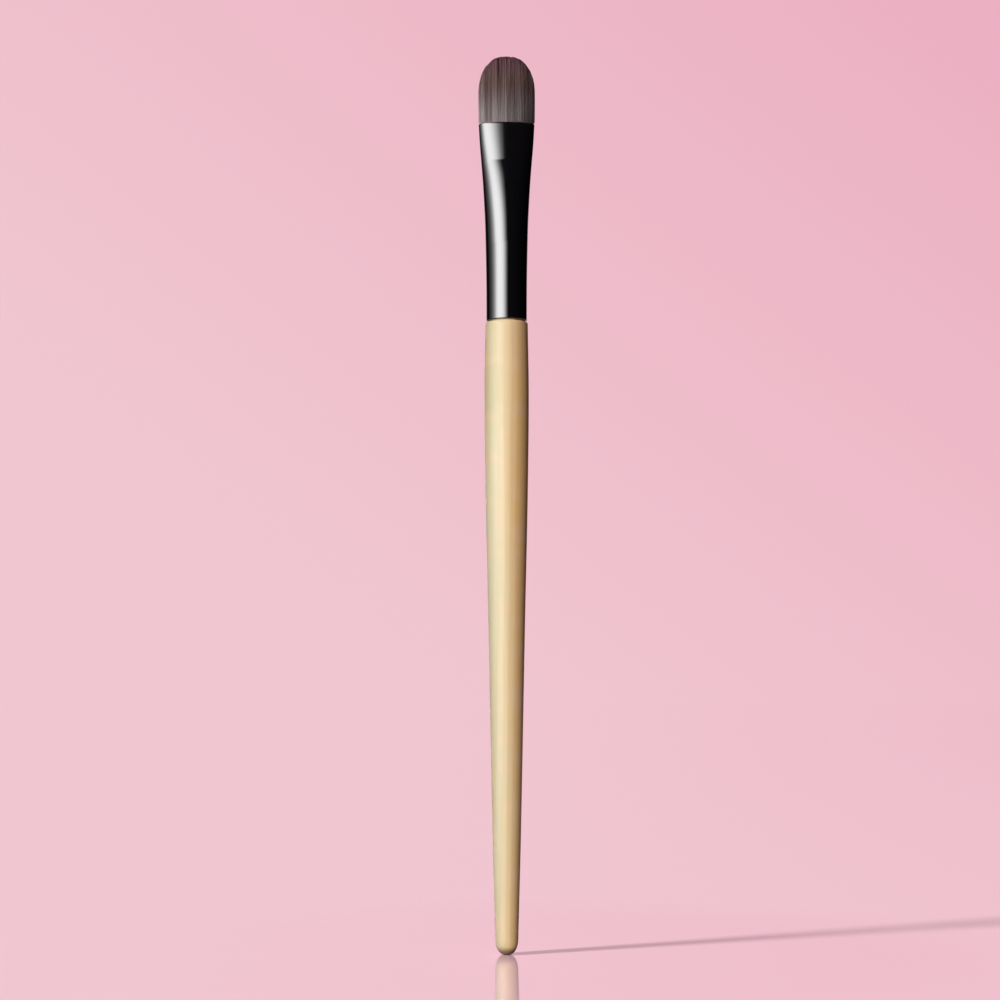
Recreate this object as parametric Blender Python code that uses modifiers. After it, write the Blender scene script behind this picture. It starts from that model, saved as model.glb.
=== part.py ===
"""Concealer brush, upright on the butt of its handle.

+Z runs from the butt to the bristles, X is the width of the flat head and Y its thickness.
The origin is the centre of the small flat on the butt. All sizes are in metres.
"""

import math
import random

import bmesh
import bpy
from mathutils import Vector

# Fits
SEAT_GAP = 0.0003
AXIS_MERGE = 0.00001

# Shading: edges sharper than this stay crisp
CRISP_ANGLE = math.radians(40)

# Handle: heights are measured from the butt
HANDLE_LENGTH = 0.1216
BUTT_FLAT_RADIUS = 0.0006
BUTT_DOME_HEIGHT = 0.0029
BUTT_RADIUS = 0.00219
LOWER_GRIP_HEIGHT = 0.0230
LOWER_GRIP_RADIUS = 0.00273
MIDDLE_HEIGHT = 0.0643
MIDDLE_RADIUS = 0.00357
UPPER_GRIP_HEIGHT = 0.0853
UPPER_GRIP_RADIUS = 0.00405
BELLY_HEIGHT = 0.1070
BELLY_RADIUS = 0.004315
SHOULDER_RADIUS = 0.00413
SHOULDER_ROUND = 0.0003

# Tenon that the ferrule slides over, with a turned recess for the glue
TENON_LENGTH = 0.0140
TENON_CHAMFER = 0.0006
GLUE_RECESS_START = 0.0035
GLUE_RECESS_LENGTH = 0.0070

# Glue sleeve
GLUE_THICKNESS = 0.0004

# Ferrule: a round tube pressed to an oval mouth
FERRULE_LENGTH = 0.0392
FERRULE_WALL = 0.00035
FERRULE_BASE_RADIUS = 0.003965
MOUTH_HALF_WIDTH = 0.00551
MOUTH_HALF_THICKNESS = 0.00235
ROUND_LENGTH = 0.0150
CREASE_BELOW_MOUTH = 0.00765
CREASE_HALF_THICKNESS = 0.00290
PRESS_POWER = 2.2
RIM_CHAMFER = 0.00006
RIM_ANGLE = math.radians(60)

# Filament bundle inside the ferrule: depths are measured down from the mouth
BACKING_RECESS = 0.0010
FULL_BUNDLE_DEPTH = 0.0105
ROOT_DEPTH = 0.0186
ROOT_HALF_WIDTH = 0.00290
ROOT_HALF_THICKNESS = 0.00205

# Thread wound round the root
THREAD_ABOVE_ROOT = 0.0012
THREAD_BAND_WIDTH = 0.0016
THREAD_THICKNESS = 0.0004

# Resin cup that the root stands in
RESIN_FLOOR = 0.0020
RESIN_RIM_ABOVE_ROOT = 0.0046

# Tuft outside the ferrule
TUFT_LENGTH = 0.0139
TUFT_BELLY_ABOVE_MOUTH = 0.0014
TUFT_HALF_WIDTH = 0.00570
TUFT_HALF_THICKNESS = 0.00218
TUFT_TIP_HALF_WIDTH = 0.00562
TUFT_TIP_HALF_THICKNESS = 0.00080
DOME_START_ABOVE_MOUTH = 0.0061
DOME_POWER = 2.2
CHISEL_DROP = 0.0016
STRAND_PITCH = 0.000366
STRAND_GAP = 0.00008
STRAND_POINT = 0.0017
STRAND_RAGGEDNESS = 0.00025
STRAND_WAIST_SHARE = 0.80
LATTICE_FILL_SHARE = 0.985
RAGGED_SEED = 12

# Facets
TURNED_STEPS = 48
FERRULE_STEPS = 64
HIDDEN_STEPS = 40
TAPER_STATIONS = 26
DOME_STATIONS = 7
ROUND_STATIONS = 4
THREAD_SECTION_POINTS = 8

# Outline of the ferrule's width: place along its length, and how much of the flare is reached
FLARE_SHARES = (
    (0.00, 0.000),
    (0.20, 0.030),
    (0.40, 0.125),
    (0.50, 0.195),
    (0.60, 0.315),
    (0.70, 0.460),
    (0.80, 0.650),
    (0.90, 0.855),
    (1.00, 1.000),
)
# Rings of points in each stretch of the ferrule, as shares of that stretch
ROUND_RING_SHARES = (0.0, 0.5)
DRAWN_RING_SHARES = (0.0, 0.25, 0.45, 0.6, 0.72, 0.82, 0.91)
PRESS_RING_SHARES = (0.0, 0.5, 1.0)
# Rings of points in each stretch of the bundle below its upper end
BUNDLE_RING_SHARES = (0.5, 1.0)

# Places that follow from the sizes above
FERRULE_START = HANDLE_LENGTH + SEAT_GAP
MOUTH_HEIGHT = FERRULE_START + FERRULE_LENGTH
TIP_HEIGHT = MOUTH_HEIGHT + TUFT_LENGTH
ROUND_END = FERRULE_START + ROUND_LENGTH
CREASE_HEIGHT = MOUTH_HEIGHT - CREASE_BELOW_MOUTH
BORE_RADIUS = FERRULE_BASE_RADIUS - FERRULE_WALL
TENON_RADIUS = BORE_RADIUS - SEAT_GAP
GLUE_OUTER_RADIUS = BORE_RADIUS - SEAT_GAP
GLUE_INNER_RADIUS = GLUE_OUTER_RADIUS - GLUE_THICKNESS
GLUE_RECESS_RADIUS = GLUE_INNER_RADIUS - SEAT_GAP
ROOT_HEIGHT = MOUTH_HEIGHT - ROOT_DEPTH
BACKING_HEIGHT = MOUTH_HEIGHT - BACKING_RECESS
FULL_BUNDLE_HEIGHT = MOUTH_HEIGHT - FULL_BUNDLE_DEPTH
THREAD_START = ROOT_HEIGHT + THREAD_ABOVE_ROOT
TUFT_BELLY_HEIGHT = MOUTH_HEIGHT + TUFT_BELLY_ABOVE_MOUTH
DOME_START = MOUTH_HEIGHT + DOME_START_ABOVE_MOUTH

# Colours, roughness and metallic value of each material
WOOD_LOOK = ((0.78, 0.57, 0.31), 0.42, 0.0)
BLACK_METAL_LOOK = ((0.012, 0.011, 0.013), 0.16, 0.85)
FILAMENT_LOOK = ((0.060, 0.040, 0.040), 0.50, 0.0)
RESIN_LOOK = ((0.55, 0.42, 0.16), 0.25, 0.0)
THREAD_LOOK = ((0.72, 0.70, 0.64), 0.85, 0.0)
GLUE_LOOK = ((0.80, 0.76, 0.60), 0.35, 0.0)


def clear_scene():
    for obj in list(bpy.data.objects):
        bpy.data.objects.remove(obj, do_unlink=True)


def parts_collection():
    collection = bpy.data.collections.new("concealer_brush")
    bpy.context.scene.collection.children.link(collection)
    return collection


def make_material(name, look):
    colour, roughness, metallic = look
    material = bpy.data.materials.new(name)
    material.use_nodes = True
    shader = material.node_tree.nodes["Principled BSDF"]
    shader.inputs["Base Color"].default_value = (*colour, 1.0)
    shader.inputs["Roughness"].default_value = roughness
    shader.inputs["Metallic"].default_value = metallic
    return material


def finish_object(name, bm, collection, material):
    """Turns the bmesh into a named object with its material, smooth where it is round."""
    mesh = bpy.data.meshes.new(name)
    bm.to_mesh(mesh)
    bm.free()
    mesh.materials.append(material)
    mesh.shade_smooth()
    mesh.set_sharp_from_angle(angle=CRISP_ANGLE)
    obj = bpy.data.objects.new(name, mesh)
    collection.objects.link(obj)
    return obj


def blend(low, high, share):
    return low + (high - low) * share


def ease(share):
    """Rises from 0 to 1 with level ends, and holds outside them."""
    held = min(max(share, 0.0), 1.0)
    return held * held * (3.0 - 2.0 * held)


def curve_at(points, place):
    """Height of the smooth curve through (place, value) points."""
    places = [p[0] for p in points]
    values = [p[1] for p in points]
    last = len(points) - 1
    i = min(max(sum(place >= p for p in places) - 1, 0), last - 1)

    def slope(k):
        before, after = max(k - 1, 0), min(k + 1, last)
        return (values[after] - values[before]) / (places[after] - places[before])

    span = places[i + 1] - places[i]
    t = (place - places[i]) / span
    start, end = values[i], values[i + 1]
    start_pull, end_pull = slope(i) * span, slope(i + 1) * span
    bend = 2.0 * start - 2.0 * end + start_pull + end_pull
    lean = 3.0 * end - 3.0 * start - 2.0 * start_pull - end_pull
    return start + start_pull * t + lean * t * t + bend * t * t * t


def turned_object(name, profile, closed, steps, collection, material):
    """Turns a profile of (radius, height) points, which runs down its outer side, round Z."""
    bm = bmesh.new()
    verts = [bm.verts.new((radius, 0.0, height)) for radius, height in profile]
    for first, second in zip(verts, verts[1:]):
        bm.edges.new((first, second))
    if closed:
        bm.edges.new((verts[-1], verts[0]))
    obj = finish_object(name, bm, collection, material)
    screw = obj.modifiers.new("turning", "SCREW")
    screw.axis = "Z"
    screw.angle = math.tau
    screw.steps = steps
    screw.render_steps = steps
    screw.use_merge_vertices = True
    screw.merge_threshold = AXIS_MERGE
    screw.use_smooth_shade = True
    return obj


def oval_ring(bm, half_width, half_thickness, height, steps):
    ring = []
    for i in range(steps):
        angle = math.tau * i / steps
        place = (half_width * math.cos(angle), half_thickness * math.sin(angle), height)
        ring.append(bm.verts.new(place))
    return ring


def join_rings(bm, lower, upper):
    """Walls between two rings of as many points, facing out when lower lies below upper."""
    count = len(lower)
    for i in range(count):
        j = (i + 1) % count
        bm.faces.new((lower[i], lower[j], upper[j], upper[i]))


# Handle

def handle_radius(height):
    """Outer radius of the wood above the rounded butt."""
    outline = (
        (BUTT_DOME_HEIGHT, BUTT_RADIUS),
        (LOWER_GRIP_HEIGHT, LOWER_GRIP_RADIUS),
        (MIDDLE_HEIGHT, MIDDLE_RADIUS),
        (UPPER_GRIP_HEIGHT, UPPER_GRIP_RADIUS),
        (BELLY_HEIGHT, BELLY_RADIUS),
        (HANDLE_LENGTH, SHOULDER_RADIUS),
    )
    return curve_at(outline, height)


def tenon_profile():
    """From the centre of the tenon's end down to the foot of the tenon."""
    top = HANDLE_LENGTH + TENON_LENGTH
    recess_foot = HANDLE_LENGTH + GLUE_RECESS_START
    recess_top = recess_foot + GLUE_RECESS_LENGTH
    return [
        (0.0, top),
        (TENON_RADIUS - TENON_CHAMFER, top),
        (TENON_RADIUS, top - TENON_CHAMFER),
        (TENON_RADIUS, recess_top),
        (GLUE_RECESS_RADIUS, recess_top),
        (GLUE_RECESS_RADIUS, recess_foot),
        (TENON_RADIUS, recess_foot),
        (TENON_RADIUS, HANDLE_LENGTH),
    ]


def shoulder_profile():
    """The small round where the flat shoulder turns into the side."""
    side = handle_radius(HANDLE_LENGTH - SHOULDER_ROUND)
    points = []
    for i in range(ROUND_STATIONS):
        angle = math.pi / 2 * i / ROUND_STATIONS
        radius = side - SHOULDER_ROUND * (1.0 - math.sin(angle))
        height = HANDLE_LENGTH - SHOULDER_ROUND * (1.0 - math.cos(angle))
        points.append((radius, height))
    return points


def taper_profile():
    top = HANDLE_LENGTH - SHOULDER_ROUND
    points = []
    for i in range(TAPER_STATIONS):
        height = blend(top, BUTT_DOME_HEIGHT, i / TAPER_STATIONS)
        points.append((handle_radius(height), height))
    return points


def butt_profile():
    """Rounded end, down to its small flat and the centre."""
    points = []
    for i in range(DOME_STATIONS):
        angle = math.pi / 2 * i / DOME_STATIONS
        radius = blend(BUTT_FLAT_RADIUS, BUTT_RADIUS, math.cos(angle))
        height = BUTT_DOME_HEIGHT * (1.0 - math.sin(angle))
        points.append((radius, height))
    points.append((BUTT_FLAT_RADIUS, 0.0))
    points.append((0.0, 0.0))
    return points


def build_handle(collection):
    profile = tenon_profile() + shoulder_profile() + taper_profile() + butt_profile()
    material = make_material("pale_wood", WOOD_LOOK)
    turned_object("handle", profile, False, TURNED_STEPS, collection, material)


def build_tenon_glue(collection):
    start = HANDLE_LENGTH + GLUE_RECESS_START + SEAT_GAP
    end = HANDLE_LENGTH + GLUE_RECESS_START + GLUE_RECESS_LENGTH - SEAT_GAP
    profile = [
        (GLUE_OUTER_RADIUS, end),
        (GLUE_OUTER_RADIUS, start),
        (GLUE_INNER_RADIUS, start),
        (GLUE_INNER_RADIUS, end),
    ]
    material = make_material("cured_glue", GLUE_LOOK)
    turned_object("tenon_glue", profile, True, TURNED_STEPS, collection, material)


# Ferrule

def ferrule_half_width(height):
    share = curve_at(FLARE_SHARES, (height - FERRULE_START) / FERRULE_LENGTH)
    return blend(FERRULE_BASE_RADIUS, MOUTH_HALF_WIDTH, share)


def ferrule_half_thickness(height):
    """Half thickness: round at first, drawn in faster and faster up to the crease, then flat."""
    if height <= ROUND_END:
        return ferrule_half_width(height)
    if height < CREASE_HEIGHT:
        share = (height - ROUND_END) / (CREASE_HEIGHT - ROUND_END)
        drawn_in = share**PRESS_POWER
        return blend(ferrule_half_width(ROUND_END), CREASE_HALF_THICKNESS, drawn_in)
    share = (height - CREASE_HEIGHT) / CREASE_BELOW_MOUTH
    return blend(CREASE_HALF_THICKNESS, MOUTH_HALF_THICKNESS, share)


def ferrule_heights():
    stretches = (
        (FERRULE_START, ROUND_END, ROUND_RING_SHARES),
        (ROUND_END, CREASE_HEIGHT, DRAWN_RING_SHARES),
        (CREASE_HEIGHT, MOUTH_HEIGHT, PRESS_RING_SHARES),
    )
    return [blend(start, end, share) for start, end, shares in stretches for share in shares]


def build_ferrule(collection):
    bm = bmesh.new()
    rings = []
    for height in ferrule_heights():
        width, thickness = ferrule_half_width(height), ferrule_half_thickness(height)
        rings.append(oval_ring(bm, width, thickness, height, FERRULE_STEPS))
    for lower, upper in zip(rings, rings[1:]):
        join_rings(bm, lower, upper)
    material = make_material("black_metal", BLACK_METAL_LOOK)
    obj = finish_object("ferrule", bm, collection, material)
    wall = obj.modifiers.new("wall", "SOLIDIFY")
    wall.thickness = FERRULE_WALL
    wall.offset = -1.0
    wall.use_even_offset = True
    rim = obj.modifiers.new("rim", "BEVEL")
    rim.width = RIM_CHAMFER
    rim.segments = 1
    rim.limit_method = "ANGLE"
    rim.angle_limit = RIM_ANGLE


def inside_ferrule(height, clearance):
    """Half width and half thickness of what fits inside the ferrule at this height."""
    inset = FERRULE_WALL + clearance
    return ferrule_half_width(height) - inset, ferrule_half_thickness(height) - inset


# Filament bundle, thread and resin

def bundle_section(height):
    """Half width and half thickness of the packed filaments inside the ferrule."""
    if height >= FULL_BUNDLE_HEIGHT:
        return inside_ferrule(height, SEAT_GAP)
    full_width, full_thickness = inside_ferrule(FULL_BUNDLE_HEIGHT, SEAT_GAP)
    foot = ROOT_HEIGHT + RESIN_RIM_ABOVE_ROOT + SEAT_GAP
    share = ease((height - foot) / (FULL_BUNDLE_HEIGHT - foot))
    width = blend(ROOT_HALF_WIDTH, full_width, share)
    return width, blend(ROOT_HALF_THICKNESS, full_thickness, share)


def bundle_stations():
    """(height, half width, half thickness) of the bundle, from under the strands to its root."""
    groove = SEAT_GAP + THREAD_THICKNESS
    thread_end = THREAD_START + THREAD_BAND_WIDTH
    foot = ROOT_HEIGHT + RESIN_RIM_ABOVE_ROOT + SEAT_GAP
    stretches = ((BACKING_HEIGHT, FULL_BUNDLE_HEIGHT), (FULL_BUNDLE_HEIGHT, foot))
    heights = [blend(top, end, share) for top, end in stretches for share in BUNDLE_RING_SHARES]
    stations = [(height, *bundle_section(height)) for height in heights]
    waist = (ROOT_HALF_WIDTH - groove, ROOT_HALF_THICKNESS - groove)
    root = (ROOT_HALF_WIDTH, ROOT_HALF_THICKNESS)
    stations.append((thread_end + SEAT_GAP, *root))
    stations.append((thread_end + SEAT_GAP, *waist))
    stations.append((THREAD_START - SEAT_GAP, *waist))
    stations.append((THREAD_START - SEAT_GAP, *root))
    stations.append((ROOT_HEIGHT, *root))
    return stations


def lattice_points(bm, half_width, half_thickness):
    """Points of an even triangular lattice inside the oval, by row and column."""
    row_step = STRAND_PITCH * math.sqrt(3.0) / 2.0
    rows = math.ceil(half_thickness / row_step)
    columns = math.ceil(half_width / STRAND_PITCH) + 1
    points = {}
    for row in range(-rows, rows + 1):
        shift = 0.5 if row % 2 else 0.0
        for column in range(-columns, columns + 1):
            x, y = (column + shift) * STRAND_PITCH, row * row_step
            if math.hypot(x / half_width, y / half_thickness) < LATTICE_FILL_SHARE:
                points[row, column] = bm.verts.new((x, y, BACKING_HEIGHT))
    return points


def lattice_cells(bm, points):
    """One triangle face for each place where a strand stands."""
    cells = []
    for (row, column), corner in points.items():
        lean = 1 if row % 2 else 0
        right = points.get((row, column + 1))
        above = points.get((row + 1, column + lean))
        below = points.get((row - 1, column + lean))
        if right and above:
            cells.append(bm.faces.new((corner, right, above)))
        if right and below:
            cells.append(bm.faces.new((corner, below, right)))
    return cells


def without_ears(bm, cells):
    """Drops each cell that has only one neighbour, which the oval's edge would squeeze flat."""
    ears = [face for face in cells if sum(edge.is_boundary for edge in face.edges) > 1]
    while ears:
        bmesh.ops.delete(bm, geom=ears, context="FACES")
        cells = [face for face in cells if face.is_valid]
        ears = [face for face in cells if sum(edge.is_boundary for edge in face.edges) > 1]
    bmesh.ops.delete(bm, geom=[v for v in bm.verts if not v.link_faces], context="VERTS")
    return cells


def outline_loop(cells):
    """The lattice's outer points in order, anticlockwise seen from above."""
    following = {}
    for face in cells:
        for loop in face.loops:
            if loop.edge.is_boundary:
                following[loop.vert] = loop.link_loop_next.vert
    start = next(iter(following))
    ordered = [start]
    while following[ordered[-1]] is not start:
        ordered.append(following[ordered[-1]])
    return ordered


def build_backing(bm, outline, half_width, half_thickness):
    """The packed bundle under the strands, lofted from their outline down to the root."""
    shares = [(vert.co.x / half_width, vert.co.y / half_thickness) for vert in outline]
    upper = outline
    for height, width, thickness in bundle_stations():
        lower = [bm.verts.new((x * width, y * thickness, height)) for x, y in shares]
        join_rings(bm, lower, upper)
        upper = lower
    bm.faces.new(list(reversed(upper)))


def spread_at(height):
    """Half width and half thickness of the whole tuft at a height above its backing."""
    if height <= TUFT_BELLY_HEIGHT:
        share = (height - BACKING_HEIGHT) / (TUFT_BELLY_HEIGHT - BACKING_HEIGHT)
        width, thickness = inside_ferrule(BACKING_HEIGHT, SEAT_GAP)
        spread = blend(width, TUFT_HALF_WIDTH, share)
        return spread, blend(thickness, TUFT_HALF_THICKNESS, share)
    share = (height - TUFT_BELLY_HEIGHT) / (TIP_HEIGHT - TUFT_BELLY_HEIGHT)
    spread = blend(TUFT_HALF_WIDTH, TUFT_TIP_HALF_WIDTH, share)
    return spread, blend(TUFT_HALF_THICKNESS, TUFT_TIP_HALF_THICKNESS, share)


def dome_height(across, through):
    """Where a strand ends: a dome across the width, a chisel through the thickness."""
    reach = (1.0 - min(abs(across), 1.0) ** DOME_POWER) ** (1.0 / DOME_POWER)
    return blend(DOME_START, TIP_HEIGHT, reach) - CHISEL_DROP * reach * through * through


def lift(point, centre, fullness, height):
    """Carries a point of a strand up to a height, along the tuft's spread."""
    old_width, old_thickness = spread_at(centre.z)
    width, thickness = spread_at(height)
    drawn_in = centre + (point - centre) * fullness
    return Vector((drawn_in.x * width / old_width, drawn_in.y * thickness / old_thickness, height))


def raise_strand(bm, face, tip):
    """Draws one strand up from its cell, to the tuft's belly, its own waist and its point."""
    for height, fullness in ((TUFT_BELLY_HEIGHT, 1.0), (tip - STRAND_POINT, STRAND_WAIST_SHARE)):
        face = bmesh.ops.extrude_discrete_faces(bm, faces=[face])["faces"][0]
        centre = face.calc_center_median()
        for vert in face.verts:
            vert.co = lift(vert.co, centre, fullness, height)
    centre = face.calc_center_median()
    point = bmesh.ops.poke(bm, faces=[face])["verts"][0]
    point.co = lift(centre, centre, 1.0, tip)


def raise_strands(bm, cells, half_width, half_thickness):
    """Insets each cell and raises its strand, all along one spread, so none cross."""
    bmesh.ops.inset_individual(bm, faces=cells, thickness=STRAND_GAP / 2, use_even_offset=True)
    ragged = random.Random(RAGGED_SEED)
    for face in cells:
        centre = face.calc_center_median()
        tip = dome_height(centre.x / half_width, centre.y / half_thickness)
        raise_strand(bm, face, tip - ragged.uniform(0.0, STRAND_RAGGEDNESS))


def build_bristle_tuft(collection):
    bm = bmesh.new()
    half_width, half_thickness = inside_ferrule(BACKING_HEIGHT, SEAT_GAP)
    points = lattice_points(bm, half_width, half_thickness)
    cells = without_ears(bm, lattice_cells(bm, points))
    outline = outline_loop(cells)
    for vert in outline:
        reach = math.hypot(vert.co.x / half_width, vert.co.y / half_thickness)
        vert.co.x /= reach
        vert.co.y /= reach
    build_backing(bm, outline, half_width, half_thickness)
    raise_strands(bm, cells, half_width, half_thickness)
    print(f"bristle_tuft: {len(cells)} strands")
    material = make_material("dark_filament", FILAMENT_LOOK)
    finish_object("bristle_tuft", bm, collection, material)


def build_root_thread(collection):
    """A wound band with a rounded section, in the groove of the root."""
    bm = bmesh.new()
    middle = THREAD_START + THREAD_BAND_WIDTH / 2
    rings = []
    for i in range(THREAD_SECTION_POINTS):
        angle = math.tau * (i + 0.5) / THREAD_SECTION_POINTS
        inset = THREAD_THICKNESS / 2 * (1.0 - math.cos(angle))
        height = middle + THREAD_BAND_WIDTH / 2 * math.sin(angle)
        width, thickness = ROOT_HALF_WIDTH - inset, ROOT_HALF_THICKNESS - inset
        rings.append(oval_ring(bm, width, thickness, height, HIDDEN_STEPS))
    for lower, upper in zip(rings, rings[1:] + rings[:1]):
        join_rings(bm, lower, upper)
    finish_object("root_thread", bm, collection, make_material("waxed_thread", THREAD_LOOK))


def build_root_resin(collection):
    """A cup cast between the bundle's root and the ferrule's wall."""
    bm = bmesh.new()
    foot = ROOT_HEIGHT - SEAT_GAP - RESIN_FLOOR
    rim = ROOT_HEIGHT + RESIN_RIM_ABOVE_ROOT
    cavity = (ROOT_HALF_WIDTH + SEAT_GAP, ROOT_HALF_THICKNESS + SEAT_GAP)
    stations = [(height, *inside_ferrule(height, SEAT_GAP)) for height in (foot, ROOT_HEIGHT, rim)]
    stations.append((rim, *cavity))
    stations.append((ROOT_HEIGHT - SEAT_GAP, *cavity))
    rings = []
    for height, width, thickness in stations:
        rings.append(oval_ring(bm, width, thickness, height, HIDDEN_STEPS))
    for lower, upper in zip(rings, rings[1:]):
        join_rings(bm, lower, upper)
    bm.faces.new(list(reversed(rings[0])))
    bm.faces.new(rings[-1])
    finish_object("root_resin", bm, collection, make_material("cast_resin", RESIN_LOOK))


def main():
    clear_scene()
    collection = parts_collection()
    build_handle(collection)
    build_tenon_glue(collection)
    build_ferrule(collection)
    build_root_resin(collection)
    build_root_thread(collection)
    build_bristle_tuft(collection)


main()
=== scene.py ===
"""Looks of a concealer brush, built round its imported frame.

The brush stands on its butt: +Z runs to the bristles, X is the width of the flat head and Y its
thickness. Lengths are in metres. A compass angle is 0 in front of the brush and grows to its right.
"""

import logging
import math
from dataclasses import dataclass, field
from enum import Enum
from functools import reduce
from typing import Iterable, Sequence

import bmesh
import bpy
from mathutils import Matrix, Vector


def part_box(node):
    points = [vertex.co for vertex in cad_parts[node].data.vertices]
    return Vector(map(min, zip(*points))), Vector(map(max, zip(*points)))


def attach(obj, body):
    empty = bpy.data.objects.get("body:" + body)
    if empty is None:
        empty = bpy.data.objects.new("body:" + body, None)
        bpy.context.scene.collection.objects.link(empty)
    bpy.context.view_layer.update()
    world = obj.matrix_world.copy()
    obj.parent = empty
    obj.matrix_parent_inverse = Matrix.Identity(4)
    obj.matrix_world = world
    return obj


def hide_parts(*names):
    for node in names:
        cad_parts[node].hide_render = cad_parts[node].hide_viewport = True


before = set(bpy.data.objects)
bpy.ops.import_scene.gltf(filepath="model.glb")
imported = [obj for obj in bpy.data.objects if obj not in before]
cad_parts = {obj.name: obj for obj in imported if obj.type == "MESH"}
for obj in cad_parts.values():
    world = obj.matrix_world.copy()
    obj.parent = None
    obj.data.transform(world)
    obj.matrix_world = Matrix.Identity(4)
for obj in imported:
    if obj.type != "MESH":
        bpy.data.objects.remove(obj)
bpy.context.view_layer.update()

log = logging.getLogger("concealer_brush")

ROOT_BODY = "root"
TUFT_NAME = "filament_tuft"
NODE_SPACING = 220
GOLDEN_ANGLE = math.pi * (3.0 - math.sqrt(5.0))
MILLIMETRE = 0.001
WHOLE = (0.0, 1.0)
ORIGIN = (0.0, 0.0, 0.0)
WHITE = (1.0, 1.0, 1.0)
MIX_LOW, MIX_HIGH, MIX_RESULT = 6, 7, 2  # A Mix node's sockets for colours.
RANDOM_LOW, RANDOM_HIGH, RANDOM_RESULT = 2, 3, 1  # A Random Value node's sockets for numbers.
SOCKET_TYPES = {float: "NodeSocketFloat", int: "NodeSocketInt", type(None): "NodeSocketVector"}

Colour = tuple[float, float, float]
Place = tuple[float, float, float]
Station = tuple[float, float]
Feeds = dict[str | int, object]
Inputs = dict[str, float | int | None]
Socket = bpy.types.NodeSocket
Material = bpy.types.Material
Piece = bpy.types.Object


class Slot(Enum):
    """The material slots, one for each finish."""

    WOOD = "pale_wood"
    METAL = "black_metal"
    FILAMENT = "dark_filament"
    THREAD = "waxed_thread"
    RESIN = "cast_resin"
    GLUE = "cured_glue"


class Lit(Enum):
    """What a lamp shines on."""

    BRUSH = "lit_brush"
    STEM = "lit_stem"
    TUFT = "lit_tuft"
    GROUND = "lit_ground"


def blend(low: float, high: float, share: float) -> float:
    """Returns the value that lies a share of the way from low to high."""
    return low + (high - low) * share


def steps(low: float, high: float, count: int) -> list[float]:
    """Returns a range's ends and the points that split it into equal steps."""
    return [blend(low, high, i / count) for i in range(count + 1)]


def turns(count: int, whole: float = math.tau) -> list[float]:
    """Returns the angles that split a turn into equal steps, without its end."""
    return [whole * i / count for i in range(count)]


def curve_at(points: Sequence[Station], place: float) -> float:
    """Reads the smooth curve that runs through a few chosen points.

    Args:
        points: Places and the values there, in rising order of place.
        place: Where to read the curve.

    Returns:
        The curve's value at that place.
    """
    places, values = zip(*points)
    last = len(points) - 1
    i = min(max(sum(place >= p for p in places) - 1, 0), last - 1)

    def slope(k: int) -> float:
        """Returns the curve's slope at one of its points."""
        before, after = max(k - 1, 0), min(k + 1, last)
        return (values[after] - values[before]) / (places[after] - places[before])

    span = places[i + 1] - places[i]
    t = (place - places[i]) / span
    start, end = values[i], values[i + 1]
    start_pull, end_pull = slope(i) * span, slope(i + 1) * span
    bend = 2.0 * start - 2.0 * end + start_pull + end_pull
    lean = 3.0 * end - 3.0 * start - 2.0 * start_pull - end_pull
    return start + start_pull * t + lean * t * t + bend * t * t * t


def line_at(points: Sequence[Station], place: float) -> float:
    """Reads the broken line through a few points, level beyond its ends.

    Args:
        points: Places and the values there, in rising order of place.
        place: Where to read the line.

    Returns:
        The line's value at that place.
    """
    if place <= points[0][0]:
        return points[0][1]
    for (start, low), (end, high) in zip(points, points[1:]):
        if place <= end:
            return blend(low, high, (place - start) / (end - start))
    return points[-1][1]


def quads(rows: int, columns: int, closed: bool) -> list[tuple[int, int, int, int]]:
    """Lists the four-sided faces between rows of points that follow one another.

    Args:
        rows: How many rows there are.
        columns: How many points each row has.
        closed: Whether each row is a ring.

    Returns:
        The four corners of each face, row by row.
    """
    faces = []
    for foot in range(0, (rows - 1) * columns, columns):
        for i in range(columns if closed else columns - 1):
            this, following = foot + i, foot + (i + 1) % columns
            faces.append((this, following, following + columns, this + columns))
    return faces


def compass(angle: float, radius: float, height: float) -> Vector:
    """Returns the point at a compass angle, in degrees, round the brush's axis."""
    turn = math.radians(angle)
    return Vector((radius * math.sin(turn), -radius * math.cos(turn), height))


def opaque(colour: object) -> object:
    """Returns a plain colour with full opacity, and anything else as it is."""
    return (*colour, 1.0) if isinstance(colour, tuple) and len(colour) == 3 else colour


def put_in_scene(name: str, data: bpy.types.ID) -> bpy.types.Object:
    """Makes an object and puts it in the scene.

    Args:
        name: The object's name.
        data: Its mesh, lamp or camera.

    Returns:
        The object.
    """
    made = bpy.data.objects.new(name, data)
    bpy.context.scene.collection.objects.link(made)
    return made


def cleared(owner: Material | bpy.types.World) -> bpy.types.NodeTree:
    """Empties the nodes of a material or a world.

    Args:
        owner: The material or the world.

    Returns:
        Its empty tree.
    """
    owner.use_nodes = True
    owner.node_tree.nodes.clear()
    return owner.node_tree


def add_inputs(tree: bpy.types.NodeTree, inputs: Inputs) -> dict[str, object]:
    """Gives a node group its named inputs.

    Args:
        tree: The group's tree.
        inputs: Each input's value, by name: a number, or None for a vector.

    Returns:
        Each input's value, by the identifier of its socket.
    """
    values = {}
    for label, value in inputs.items():
        kind = SOCKET_TYPES[type(value)]
        socket = tree.interface.new_socket(label, in_out="INPUT", socket_type=kind)
        values[socket.identifier] = value
        if value is not None:
            socket.default_value = value
    return values


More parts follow.
